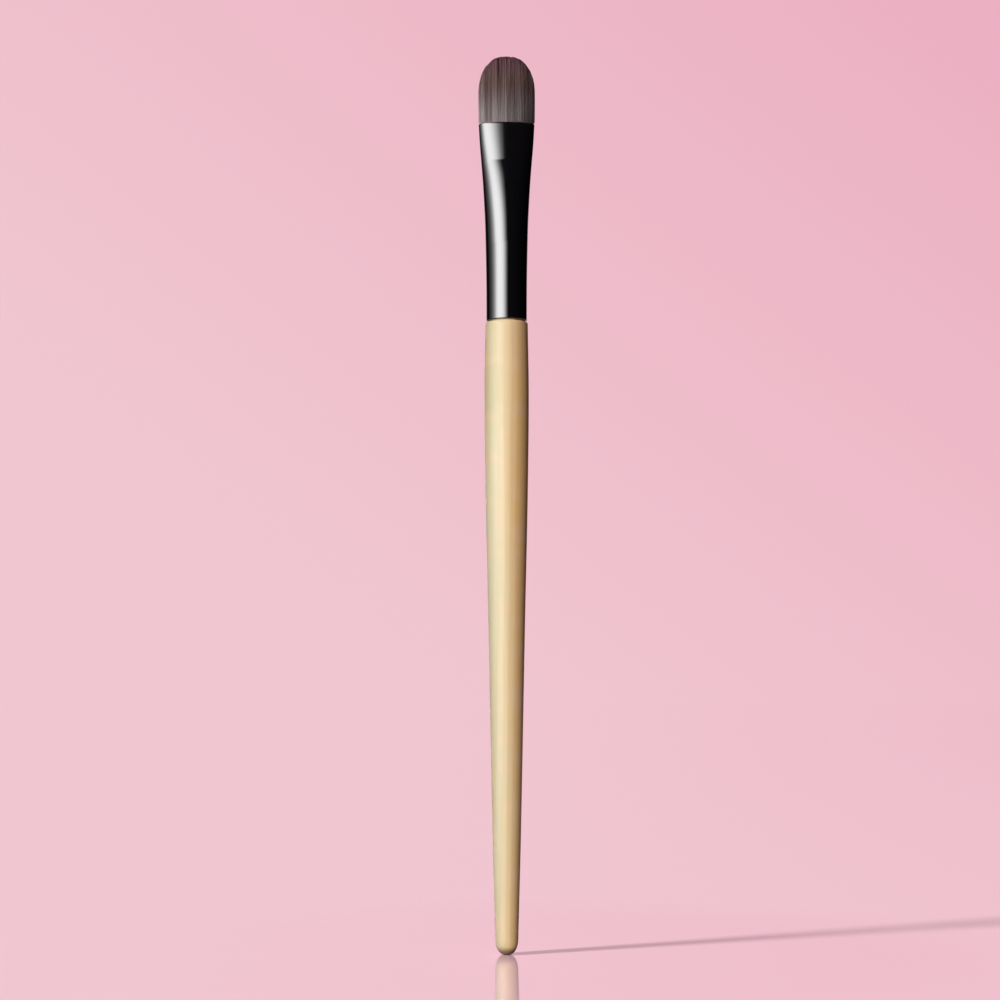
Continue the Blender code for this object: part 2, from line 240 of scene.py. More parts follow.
class NodeBench:
    """Places nodes in one tree, side by side, and wires them."""

    def __init__(self, tree: bpy.types.NodeTree) -> None:
        """Takes the tree that the nodes go into."""
        self.tree = tree

    def place(self, kind: str, feeds: Feeds | None = None, **options: object) -> bpy.types.Node:
        """Adds a node.

        Args:
            kind: The node's type.
            feeds: What goes into its sockets, by name or number: another socket or a value.
            **options: The node's own settings.

        Returns:
            The new node.
        """
        node = self.tree.nodes.new(kind)
        node.location = (NODE_SPACING * len(self.tree.nodes), 0)
        for name, value in options.items():
            setattr(node, name, value)
        for key, source in (feeds or {}).items():
            if isinstance(source, Socket):
                self.tree.links.new(source, node.inputs[key])
            else:
                node.inputs[key].default_value = source
        return node

    def first(self, kind: str, feeds: Feeds | None = None, **options: object) -> Socket:
        """Adds a node and returns its first output."""
        return self.place(kind, feeds, **options).outputs[0]

    def math(self, operation: str, *values: object, clamp: bool = False) -> Socket:
        """Adds a Math node and returns its result."""
        feeds = dict(enumerate(values))
        return self.first("ShaderNodeMath", feeds, operation=operation, use_clamp=clamp)

    def sum(self, *values: object) -> Socket:
        """Adds several values or sockets together."""
        return reduce(lambda total, value: self.math("ADD", total, value), values)

    def product(self, *values: object) -> Socket:
        """Multiplies several values or sockets."""
        return reduce(lambda total, value: self.math("MULTIPLY", total, value), values)

    def less(self, value: object, taken: object) -> Socket:
        """Takes one value or socket from another."""
        return self.math("SUBTRACT", value, taken)

    def span(
        self, value: object, source: Station, target: Sequence[object] = WHOLE, even: bool = False
    ) -> Socket:
        """Carries a value from one range to another.

        Args:
            value: What to carry over.
            source: The range that it comes from.
            target: The range that it goes to.
            even: Whether it runs evenly, rather than easing in and out.

        Returns:
            The value in its new range, held at the ends.
        """
        feeds = {"Value": value, "From Min": source[0], "From Max": source[1]}
        feeds |= {"To Min": target[0], "To Max": target[1]}
        shape = "LINEAR" if even else "SMOOTHSTEP"
        return self.first("ShaderNodeMapRange", feeds, interpolation_type=shape)

    def mix_colours(self, share: object, low: object, high: object, mode: str = "MIX") -> Socket:
        """Mixes two colours by a share.

        Args:
            share: How much of the second colour there is.
            low: The first colour or its socket.
            high: The second colour or its socket.
            mode: The way of mixing.

        Returns:
            The mixed colour.
        """
        feeds = {0: share, MIX_LOW: opaque(low), MIX_HIGH: opaque(high)}
        node = self.place("ShaderNodeMix", feeds, data_type="RGBA", blend_type=mode)
        return node.outputs[MIX_RESULT]

    def parts_of(self, vector: object) -> tuple[Socket, Socket, Socket]:
        """Returns the three parts of a vector."""
        return tuple(self.place("ShaderNodeSeparateXYZ", {0: vector}).outputs)

    def vector(self, x: object, y: object, z: object) -> Socket:
        """Returns a vector made of three parts."""
        return self.first("ShaderNodeCombineXYZ", {0: x, 1: y, 2: z})

    def vector_math(self, operation: str, feeds: Feeds) -> Socket:
        """Adds a Vector Math node and returns its result."""
        return self.first("ShaderNodeVectorMath", feeds, operation=operation)

    def noise(
        self, vector: object, scale: object, detail: float = 2.0, roughness: float = 0.5
    ) -> Socket:
        """Adds a Noise Texture and returns its value."""
        feeds = {"Vector": vector, "Scale": scale, "Detail": detail, "Roughness": roughness}
        return self.first("ShaderNodeTexNoise", feeds)

    def attribute(self, name: str) -> Socket:
        """Reads a number that the mesh carries, for a shader."""
        return self.place("ShaderNodeAttribute", attribute_name=name).outputs["Fac"]


class EffectGroup:
    """A shader node group with named inputs and outputs, shared by several materials."""

    def __init__(self, name: str, inputs: Inputs, outputs: Sequence[str]) -> None:
        """Makes the empty group.

        Args:
            name: The group's name.
            inputs: Each input's default value, by name.
            outputs: The names of its outputs, which are all numbers.
        """
        self.tree = bpy.data.node_groups.new(name, "ShaderNodeTree")
        add_inputs(self.tree, inputs)
        for label in outputs:
            self.tree.interface.new_socket(label, in_out="OUTPUT", socket_type="NodeSocketFloat")
        self.bench = NodeBench(self.tree)
        self.given = self.bench.place("NodeGroupInput").outputs


@dataclass
class Effects:
    """The surface effects that more than one finish uses, each built once."""

    fine_fibre_factor: float = 4.3
    coarse_fibre_share: float = 0.62
    fibre_contrast: float = 2.4
    speckle_factor: float = 9.0
    patch_levels: Station = (0.3, 0.7)

    def __post_init__(self) -> None:
        """Builds the groups."""
        self.fibres = self._build_fibres()
        self.mottle = self._build_mottle()

    def _build_fibres(self) -> bpy.types.NodeTree:
        """Builds long fine streaks that run along Z.

        Returns:
            The group: Streak is the tone, from 0 to 1, and Height is for a bump.
        """
        inputs = {"Vector": None, "Across Scale": 1000.0, "Along Share": 0.03, "Sharpness": 1.0}
        group = EffectGroup("long_fibres", inputs, ("Streak", "Height"))
        bench, given = group.bench, group.given
        x, y, z = bench.parts_of(given["Vector"])
        drawn = bench.vector(x, y, bench.product(z, given["Along Share"]))
        coarse = bench.noise(drawn, given["Across Scale"], detail=3.0, roughness=0.6)
        fine = bench.noise(drawn, bench.product(given["Across Scale"], self.fine_fibre_factor))
        coarse_part = bench.product(coarse, self.coarse_fibre_share)
        both = bench.sum(coarse_part, bench.product(fine, 1.0 - self.coarse_fibre_share))
        spread = bench.product(bench.less(both, 0.5), given["Sharpness"], self.fibre_contrast)
        streak = bench.math("ADD", spread, 0.5, clamp=True)
        bench.place("NodeGroupOutput", {"Streak": streak, "Height": both})
        return group.tree

    def _build_mottle(self) -> bpy.types.NodeTree:
        """Builds soft uneven patches with a little fine speckle.

        Returns:
            The group: Patch is the tone, from 0 to 1, and Height is for a bump.
        """
        inputs = {"Vector": None, "Scale": 500.0, "Speckle": 0.3}
        group = EffectGroup("soft_mottle", inputs, ("Patch", "Height"))
        bench, given = group.bench, group.given
        broad = bench.noise(given["Vector"], given["Scale"], detail=3.0, roughness=0.55)
        fine_scale = bench.product(given["Scale"], self.speckle_factor)
        fine = bench.noise(given["Vector"], fine_scale, detail=1.0)
        height = bench.sum(broad, bench.product(bench.less(fine, 0.5), given["Speckle"]))
        feeds = {"Patch": bench.span(height, self.patch_levels), "Height": height}
        bench.place("NodeGroupOutput", feeds)
        return group.tree


class Paint(NodeBench):
    """A material's bench, with the object's coordinates and the shared effects at hand."""

    def __init__(self, tree: bpy.types.NodeTree, effects: Effects) -> None:
        """Takes the material's tree and the shared effects.

        Args:
            tree: The material's empty tree.
            effects: The shared effect groups.
        """
        super().__init__(tree)
        self.effects = effects
        self.spot = self.place("ShaderNodeTexCoord").outputs["Object"]

    def fibres(self, scale: float, length_share: float, sharpness: float = 1.0) -> tuple[Socket, ...]:
        """Lays long streaks.

        Args:
            scale: How fine they are across.
            length_share: Their fineness along Z, as a share of that.
            sharpness: How strongly they stand out.

        Returns:
            Their tone and their height.
        """
        feeds = {"Vector": self.spot, "Across Scale": scale}
        feeds |= {"Along Share": length_share, "Sharpness": sharpness}
        return tuple(self.place("ShaderNodeGroup", feeds, node_tree=self.effects.fibres).outputs)

    def mottle(self, scale: float, speckle: float) -> tuple[Socket, ...]:
        """Lays soft patches and returns their tone and their height."""
        feeds = {"Vector": self.spot, "Scale": scale, "Speckle": speckle}
        return tuple(self.place("ShaderNodeGroup", feeds, node_tree=self.effects.mottle).outputs)

    def noise_along(self, length_share: float, scale: float) -> Socket:
        """Returns noise that is drawn out along Z, the less of Z it takes the longer."""
        drawn = self.vector_math("MULTIPLY", {0: self.spot, 1: (1.0, 1.0, length_share)})
        return self.noise(drawn, scale)

    def relief(self, height: Socket, depth: float) -> Socket:
        """Returns the normal of a surface that a height pattern roughens by a depth."""
        return self.place("ShaderNodeBump", {"Height": height, "Distance": depth}).outputs["Normal"]


class Finish:
    """What every finish shares: an empty material, its bench and its shader."""

    slot: Slot

    def material(self, effects: Effects) -> Material:
        """Builds the material.

        Args:
            effects: The shared effect groups.

        Returns:
            The finished material, named for its slot.
        """
        made = bpy.data.materials.new(self.slot.value)
        paint = Paint(cleared(made), effects)
        shader = paint.first("ShaderNodeBsdfPrincipled", self.surface(paint))
        paint.place("ShaderNodeOutputMaterial", {"Surface": shader})
        return made

    def surface(self, paint: Paint) -> Feeds:
        """Returns what goes into the shader's sockets. Each finish has its own."""
        raise NotImplementedError


@dataclass(frozen=True)
class LacqueredWood(Finish):
    """Pale turned wood with straight grain under a clear satin lacquer."""

    slot: Slot = Slot.WOOD
    # The colours across X paint light and shade: pale and greenish on the lit left, orange on the
    # shaded right, darker on the lit side just under the ferrule.
    sapwood: Colour = (0.628, 0.566, 0.368)
    sapwood_top: Colour = (0.545, 0.500, 0.305)
    honey: Colour = (0.750, 0.572, 0.318)
    heartwood: Colour = (0.830, 0.500, 0.205)
    blush: Colour = (0.82, 0.57, 0.39)
    summer_line: Colour = (0.62, 0.40, 0.18)
    # Painted shade: the deep brown at the underside of the butt.
    butt_tone: Colour = (0.17, 0.085, 0.045)
    sapwood_edges: Station = (-0.0018, 0.0002)
    heartwood_edges: Station = (-0.0001, 0.0028)
    drift_scale: float = 240.0
    drift_length_share: float = 0.16
    drift_width: float = 0.0030
    cloud_depth: float = 0.37
    cloud_levels: Station = (0.45, 0.7)
    blush_strength: float = 0.34
    top_blush: Station = (0.0, 0.6)
    ring_spacing: float = 0.00125
    ring_slant: float = 0.45
    ring_sharpness: float = 3.0
    ring_strength: float = 0.22
    bow_scale: float = 260.0
    bow_length_share: float = 0.06
    bow_width: float = 0.0024
    fibre_strength: float = 0.16
    fibre_scale: float = 2600.0
    fibre_length_share: float = 0.022
    fibre_sharpness: float = 1.3
    fibre_depth: float = 0.000004
    roughness: Station = (0.42, 0.52)
    gloss_level: float = 0.16
    sapwood_heights: Station = (0.0945, 0.1100)
    blush_heights: Station = (0.104, 0.1212)
    butt_heights: Station = (0.0017, 0.0005)
    butt_stain: Station = (0.0, 0.85)

    def surface(self, paint: Paint) -> Feeds:
        """Lays drift, growth rings and fibres over the wood's colour, which paints light and shade
        across X.

        Args:
            paint: The material's bench.

        Returns:
            The shader's inputs.
        """
        x, _, height = paint.parts_of(paint.spot)
        drift = paint.noise_along(self.drift_length_share, self.drift_scale)
        across = paint.sum(x, paint.product(paint.less(drift, 0.5), self.drift_width))
        # Painted shade: the pale left side turns darker just under the ferrule.
        ferrule_shade_share = paint.span(height, self.sapwood_heights)
        sapwood = paint.mix_colours(ferrule_shade_share, self.sapwood, self.sapwood_top)
        # Painted light and shade across X: paler and greener on the lit left side, more orange on the
        # shaded right side; the drift wobbles the border.
        ground = paint.mix_colours(paint.span(across, self.sapwood_edges), sapwood, self.honey)
        shaded_side_share = paint.span(across, self.heartwood_edges)
        ground = paint.mix_colours(shaded_side_share, ground, self.heartwood)
        cloud_place = paint.vector(height, x, self.cloud_depth)
        cloud = paint.noise(cloud_place, self.drift_scale, detail=1.0)
        top_share = paint.span(height, self.blush_heights, self.top_blush)
        blush_share = paint.sum(paint.span(cloud, self.cloud_levels), top_share)
        blush_share = paint.product(blush_share, self.blush_strength)
        ground = paint.mix_colours(blush_share, ground, self.blush)
        ring_share = paint.product(self._rings(paint), self.ring_strength)
        ringed = paint.mix_colours(ring_share, ground, self.summer_line)
        streak, relief = paint.fibres(self.fibre_scale, self.fibre_length_share, self.fibre_sharpness)
        fibre_share = paint.product(streak, self.fibre_strength)
        grained = paint.mix_colours(fibre_share, ringed, self.summer_line)
        # Painted shade: the wood darkens to deep brown at the underside of the butt, where it meets
        # the floor.
        butt_shade_share = paint.span(height, self.butt_heights, self.butt_stain)
        return {
            "Base Color": paint.mix_colours(butt_shade_share, grained, self.butt_tone),
            "Roughness": paint.span(streak, WHOLE, self.roughness, even=True),
            "Specular IOR Level": self.gloss_level,
            "Normal": paint.relief(relief, self.fibre_depth),
        }

    def _rings(self, paint: Paint) -> Socket:
        """Growth rings of the billet, which run through the handle from end to end.

        Args:
            paint: The material's bench.

        Returns:
            How strongly each ring's dark line shows, from 0 to 1.
        """
        x, y, _ = paint.parts_of(paint.spot)
        bow = paint.noise_along(self.bow_length_share, self.bow_scale)
        slanted = paint.product(y, self.ring_slant)
        across = paint.sum(x, slanted, paint.product(bow, self.bow_width))
        turn = paint.product(across, math.tau / self.ring_spacing)
        wave = paint.sum(paint.product(paint.math("SINE", turn), 0.5), 0.5)
        return paint.math("POWER", wave, self.ring_sharpness)


@dataclass(frozen=True)
class BlackGloss(Finish):
    """Glossy black over a thin drawn metal tube."""

    slot: Slot = Slot.METAL
    black: Colour = (0.0030, 0.0026, 0.0034)
    worn: Colour = (0.014, 0.013, 0.015)
    worn_strength: float = 0.12
    line_scale: float = 1500.0
    line_length_share: float = 0.01
    roughness: Station = (0.070, 0.105)
    gloss_level: float = 0.55
    mottle_scale: float = 420.0
    mottle_speckle: float = 0.25
    mottle_depth: float = 0.0000012

    def surface(self, paint: Paint) -> Feeds:
        """Lays faint patches and drawing lines over the black.

        Args:
            paint: The material's bench.

        Returns:
            The shader's inputs.
        """
        patch, relief = paint.mottle(self.mottle_scale, self.mottle_speckle)
        line, _ = paint.fibres(self.line_scale, self.line_length_share)
        worn_share = paint.product(line, self.worn_strength)
        return {
            "Base Color": paint.mix_colours(worn_share, self.black, self.worn),
            "Roughness": paint.span(patch, WHOLE, self.roughness, even=True),
            "Specular IOR Level": self.gloss_level,
            "Normal": paint.relief(relief, self.mottle_depth),
        }


@dataclass(frozen=True)
class FilamentGloss(Finish):
    """Fine dark brown filament, plum at the tips, with a painted sheen that makes it paler and greyer
    at the ferrule.
    """

    slot: Slot = Slot.FILAMENT
    root: Colour = (0.212, 0.176, 0.178)
    middle: Colour = (0.092, 0.052, 0.046)
    tip: Colour = (0.082, 0.034, 0.041)
    root_heights: Station = (0.1605, 0.1697)
    tip_heights: Station = (0.1697, 0.1738)
    tone_ranges: tuple[tuple[str, Station], ...] = (
        ("filament_tone", (0.92, 1.08)),
        ("lock_tone", (0.90, 1.10)),
    )
    streak_scale: float = 3200.0
    streak_length_share: float = 0.05
    gloss_level: float = 0.14
    roughness: Station = (0.36, 0.52)

    def surface(self, paint: Paint) -> Feeds:
        """Colours each filament by its height, its own tone and its lock's tone; the paler grey near
        the ferrule is painted sheen.

        Args:
            paint: The material's bench.

        Returns:
            The shader's inputs.
        """
        height = paint.parts_of(paint.spot)[2]
        # Painted sheen: the filaments are paler and greyer near the ferrule and darken to their own
        # brown higher up.
        ground = paint.mix_colours(paint.span(height, self.root_heights), self.root, self.middle)
        ground = paint.mix_colours(paint.span(height, self.tip_heights), ground, self.tip)
        tones = (
            paint.span(paint.attribute(name), WHOLE, tone_range, even=True)
            for name, tone_range in self.tone_ranges
        )
        streak, _ = paint.fibres(self.streak_scale, self.streak_length_share)
        return {
            "Base Color": paint.vector_math("SCALE", {0: ground, "Scale": paint.product(*tones)}),
            "Roughness": paint.span(streak, WHOLE, self.roughness, even=True),
            "Specular IOR Level": self.gloss_level,
        }


@dataclass(frozen=True)
class WaxedThread(Finish):
    """Undyed thread, lightly waxed."""

    slot: Slot = Slot.THREAD
    pale: Colour = (0.74, 0.70, 0.61)
    shaded: Colour = (0.50, 0.45, 0.36)
    roughness: Station = (0.62, 0.80)
    patch_scale: float = 2400.0
    patch_speckle: float = 0.5
    ply_scale: float = 5200.0
    ply_strength: float = 0.7
    ply_depth: float = 0.00001

    def surface(self, paint: Paint) -> Feeds:
        """Lays the thread's plies and its waxy patches over its colour.

        Args:
            paint: The material's bench.

        Returns:
            The shader's inputs.
        """
        patch, _ = paint.mottle(self.patch_scale, self.patch_speckle)
        ply, relief = paint.fibres(self.ply_scale, 1.0)
        ply_share = paint.product(ply, self.ply_strength)
        return {
            "Base Color": paint.mix_colours(ply_share, self.pale, self.shaded),
            "Roughness": paint.span(patch, WHOLE, self.roughness, even=True),
            "Normal": paint.relief(relief, self.ply_depth),
        }


@dataclass(frozen=True)
class CastFill(Finish):
    """A hard cast filling, such as resin or glue, with clouds and tiny bubbles."""

    slot: Slot
    clear: Colour
    cloudy: Colour
    roughness: Station
    cloud_scale: float
    cloud_speckle: float = 0.4
    bubble_factor: float = 3.0
    bubble_reach: Station = (0.0, 0.22)
    bubble_depth: float = 0.000012
    skin: float = 0.3
    skin_roughness: float = 0.12

    def surface(self, paint: Paint) -> Feeds:
        """Lays clouds and bubbles over the filling's colour.

        Args:
            paint: The material's bench.

        Returns:
            The shader's inputs.
        """
        patch, relief = paint.mottle(self.cloud_scale, self.cloud_speckle)
        feeds = {"Vector": paint.spot, "Scale": self.cloud_scale * self.bubble_factor}
        bubbles = paint.place("ShaderNodeTexVoronoi", feeds).outputs["Distance"]
        height = paint.sum(relief, paint.span(bubbles, self.bubble_reach))
        return {
            "Base Color": paint.mix_colours(patch, self.clear, self.cloudy),
            "Roughness": paint.span(patch, WHOLE, self.roughness, even=True),
            "Coat Weight": self.skin,
            "Coat Roughness": self.skin_roughness,
            "Normal": paint.relief(height, self.bubble_depth),
        }


CAST_RESIN = CastFill(Slot.RESIN, (0.60, 0.44, 0.15), (0.46, 0.35, 0.15), (0.16, 0.30), 700.0)
CURED_GLUE = CastFill(Slot.GLUE, (0.82, 0.76, 0.56), (0.74, 0.70, 0.58), (0.28, 0.42), 900.0)


class FormTree:
    """A Geometry Nodes tree with named inputs, which makes one piece from a small base mesh."""

    def __init__(self, name: str, inputs: Inputs) -> None:
        """Makes the empty tree.

        Args:
            name: The tree's name.
            inputs: Each input's value, by name.
        """
        self.tree = bpy.data.node_groups.new(name, "GeometryNodeTree")
        new_socket = self.tree.interface.new_socket
        new_socket("Geometry", in_out="INPUT", socket_type="NodeSocketGeometry")
        self.values = add_inputs(self.tree, inputs)
        finish = new_socket("Finish", in_out="INPUT", socket_type="NodeSocketMaterial")
        self.finish_identifier = finish.identifier
        new_socket("Geometry", in_out="OUTPUT", socket_type="NodeSocketGeometry")
        self.bench = NodeBench(self.tree)
        self.given = self.bench.place("NodeGroupInput").outputs

    def close(self, shape: Socket) -> None:
        """Makes the shape real, gives it its finish and sends it out.

        Args:
            shape: The geometry to send out.
        """
        real = self.bench.first("GeometryNodeRealizeInstances", {0: shape})
        feeds = {"Geometry": real, "Material": self.given["Finish"]}
        dressed = self.bench.first("GeometryNodeSetMaterial", feeds)
        self.bench.place("NodeGroupOutput", {"Geometry": dressed})

    def run(self, name: str, base: bpy.types.Mesh, material: Material) -> Piece:
        """Runs the tree once and keeps the result as a plain mesh.

        Args:
            name: The piece's name.
            base: The mesh that the tree starts from.
            material: The piece's finish.

        Returns:
            The piece, with no modifier left on it.
        """
        piece = put_in_scene(name, base)
        modifier = piece.modifiers.new("form", "NODES")
        modifier.node_group = self.tree
        for identifier, value in self.values.items():
            modifier[identifier] = value
        modifier[self.finish_identifier] = material
        depsgraph = bpy.context.evaluated_depsgraph_get()
        mesh = bpy.data.meshes.new_from_object(
            piece.evaluated_get(depsgraph), preserve_all_data_layers=True, depsgraph=depsgraph
        )
        piece.modifiers.remove(modifier)
        piece.data = mesh
        mesh.name = name
        bpy.data.meshes.remove(base)
        return piece


def shade_round(mesh: bpy.types.Mesh, crisp_angle: float) -> None:
    """Shades a mesh smooth, but for edges sharper than an angle in degrees."""
    mesh.shade_smooth()
    mesh.set_sharp_from_angle(angle=math.radians(crisp_angle))


def hand_over(piece: Piece, slot: Slot, *nodes: str) -> Piece:
    """Puts a finished piece in the frame.

    Args:
        piece: The piece, in place in the row frame.
        slot: The material slot of its finish; not used.
        *nodes: The frame's nodes that it stands for.

    Returns:
        The same piece.
    """
    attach(piece, ROOT_BODY)
    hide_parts(*nodes)
    return piece


@dataclass(frozen=True)
class Handle:
    """The turned handle: rounded butt, long taper, belly, shoulder and hidden tenon."""

    length: float = 0.1216
    butt_flat_radius: float = 0.0006
    butt_dome_height: float = 0.0029
    butt_radius: float = 0.00219
    lower_grip: Station = (0.0230, 0.00273)
    middle: Station = (0.0643, 0.00357)
    upper_grip: Station = (0.0853, 0.00405)
    belly: Station = (0.1070, 0.004315)
    shoulder_radius: float = 0.00413
    shoulder_round: float = 0.0003
    tenon_radius: float = 0.003315
    tenon_chamfer: float = 0.0006
    recess_start: float = 0.0035
    recess_length: float = 0.0070
    recess_radius: float = 0.002615
    step_rise: float = 0.000001
    weld_distance: float = 0.00000025
    sides: int = 128
    taper_stations: int = 150
    dome_stations: int = 26
    round_stations: int = 8
    crisp_angle: float = 35.0
    finish: LacqueredWood = LacqueredWood()

    def radius(self, height: float) -> float:
        """Outer radius of the wood above its rounded butt.

        Args:
            height: Where to read it.

        Returns:
            The radius.
        """
        foot = (self.butt_dome_height, self.butt_radius)
        top = (self.length, self.shoulder_radius)
        return curve_at((foot, self.lower_grip, self.middle, self.upper_grip, self.belly, top), height)

    def _outside(self) -> list[Station]:
        """The rounded butt from the axis, the long taper and the small rounding of the shoulder.

        Returns:
            Points of (radius, height), bottom to top.
        """
        points = [(0.0, 0.0), (self.butt_flat_radius, self.step_rise)]
        for turn in turns(self.dome_stations, math.pi / 2)[1:]:
            radius = blend(self.butt_flat_radius, self.butt_radius, math.sin(turn))
            points.append((radius, self.butt_dome_height * (1.0 - math.cos(turn))))
        top = self.length - self.shoulder_round
        heights = steps(self.butt_dome_height, top, self.taper_stations)
        points += [(self.radius(height), height) for height in heights[:-1]]
        for turn in turns(self.round_stations, math.pi / 2) + [math.pi / 2]:
            radius = self.radius(top) - self.shoulder_round * (1.0 - math.cos(turn))
            points.append((radius, top + self.shoulder_round * math.sin(turn)))
        return points

    def _tenon(self) -> list[Station]:
        """The tenon with its turned recess for the glue, up to the axis at its end.

        Returns:
            Points of (radius, height), bottom to top.
        """
        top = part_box("handle")[1].z
        foot = self.length + self.recess_start
        head = foot + self.recess_length
        return [
            (self.tenon_radius, self.length + self.step_rise),
            (self.tenon_radius, foot - self.step_rise),
            (self.recess_radius, foot),
            (self.recess_radius, head - self.step_rise),
            (self.tenon_radius, head),
            (self.tenon_radius, top - self.tenon_chamfer),
            (self.tenon_radius - self.tenon_chamfer, top - self.step_rise),
            (0.0, top),
        ]

    def _profile(self) -> bpy.types.Mesh:
        """Draws the outline as a chain of edges in the XZ plane.

        Returns:
            The outline's mesh, bottom to top.
        """
        points = [(radius, 0.0, height) for radius, height in self._outside() + self._tenon()]
        mesh = bpy.data.meshes.new("handle_outline")
        mesh.from_pydata(points, [(i, i + 1) for i in range(len(points) - 1)], [])
        return mesh

    def _turning(self) -> FormTree:
        """Builds the tree that turns an outline round Z.

        Returns:
            The tree.
        """
        form = FormTree("turning", {"Sides": self.sides, "Weld Distance": self.weld_distance})
        bench, given = form.bench, form.given
        outline = bench.first("GeometryNodeMeshToCurve", {"Mesh": given["Geometry"]})
        radius, _, height = bench.parts_of(bench.first("GeometryNodeInputPosition"))
        sized = bench.first("GeometryNodeSetCurveRadius", {"Curve": outline, "Radius": radius})
        feeds = {"Geometry": sized, "Position": bench.vector(0.0, 0.0, height)}
        spine = bench.first("GeometryNodeSetPosition", feeds)
        feeds = {"Resolution": given["Sides"], "Radius": 1.0}
        ring = bench.first("GeometryNodeCurvePrimitiveCircle", feeds)
        own_radius = bench.first("GeometryNodeInputRadius")
        feeds = {"Curve": spine, "Profile Curve": ring, "Scale": own_radius}
        turned = bench.first("GeometryNodeCurveToMesh", feeds)
        feeds = {"Geometry": turned, "Distance": given["Weld Distance"]}
        form.close(bench.first("GeometryNodeMergeByDistance", feeds))
        return form

    def build(self, effects: Effects) -> Piece:
        """Turns the handle and dresses it.

        Args:
            effects: The shared effect groups.

        Returns:
            The handle.
        """
        material = self.finish.material(effects)
        piece = self._turning().run("turned_handle", self._profile(), material)
        shade_round(piece.data, self.crisp_angle)
        return hand_over(piece, self.finish.slot, "handle")


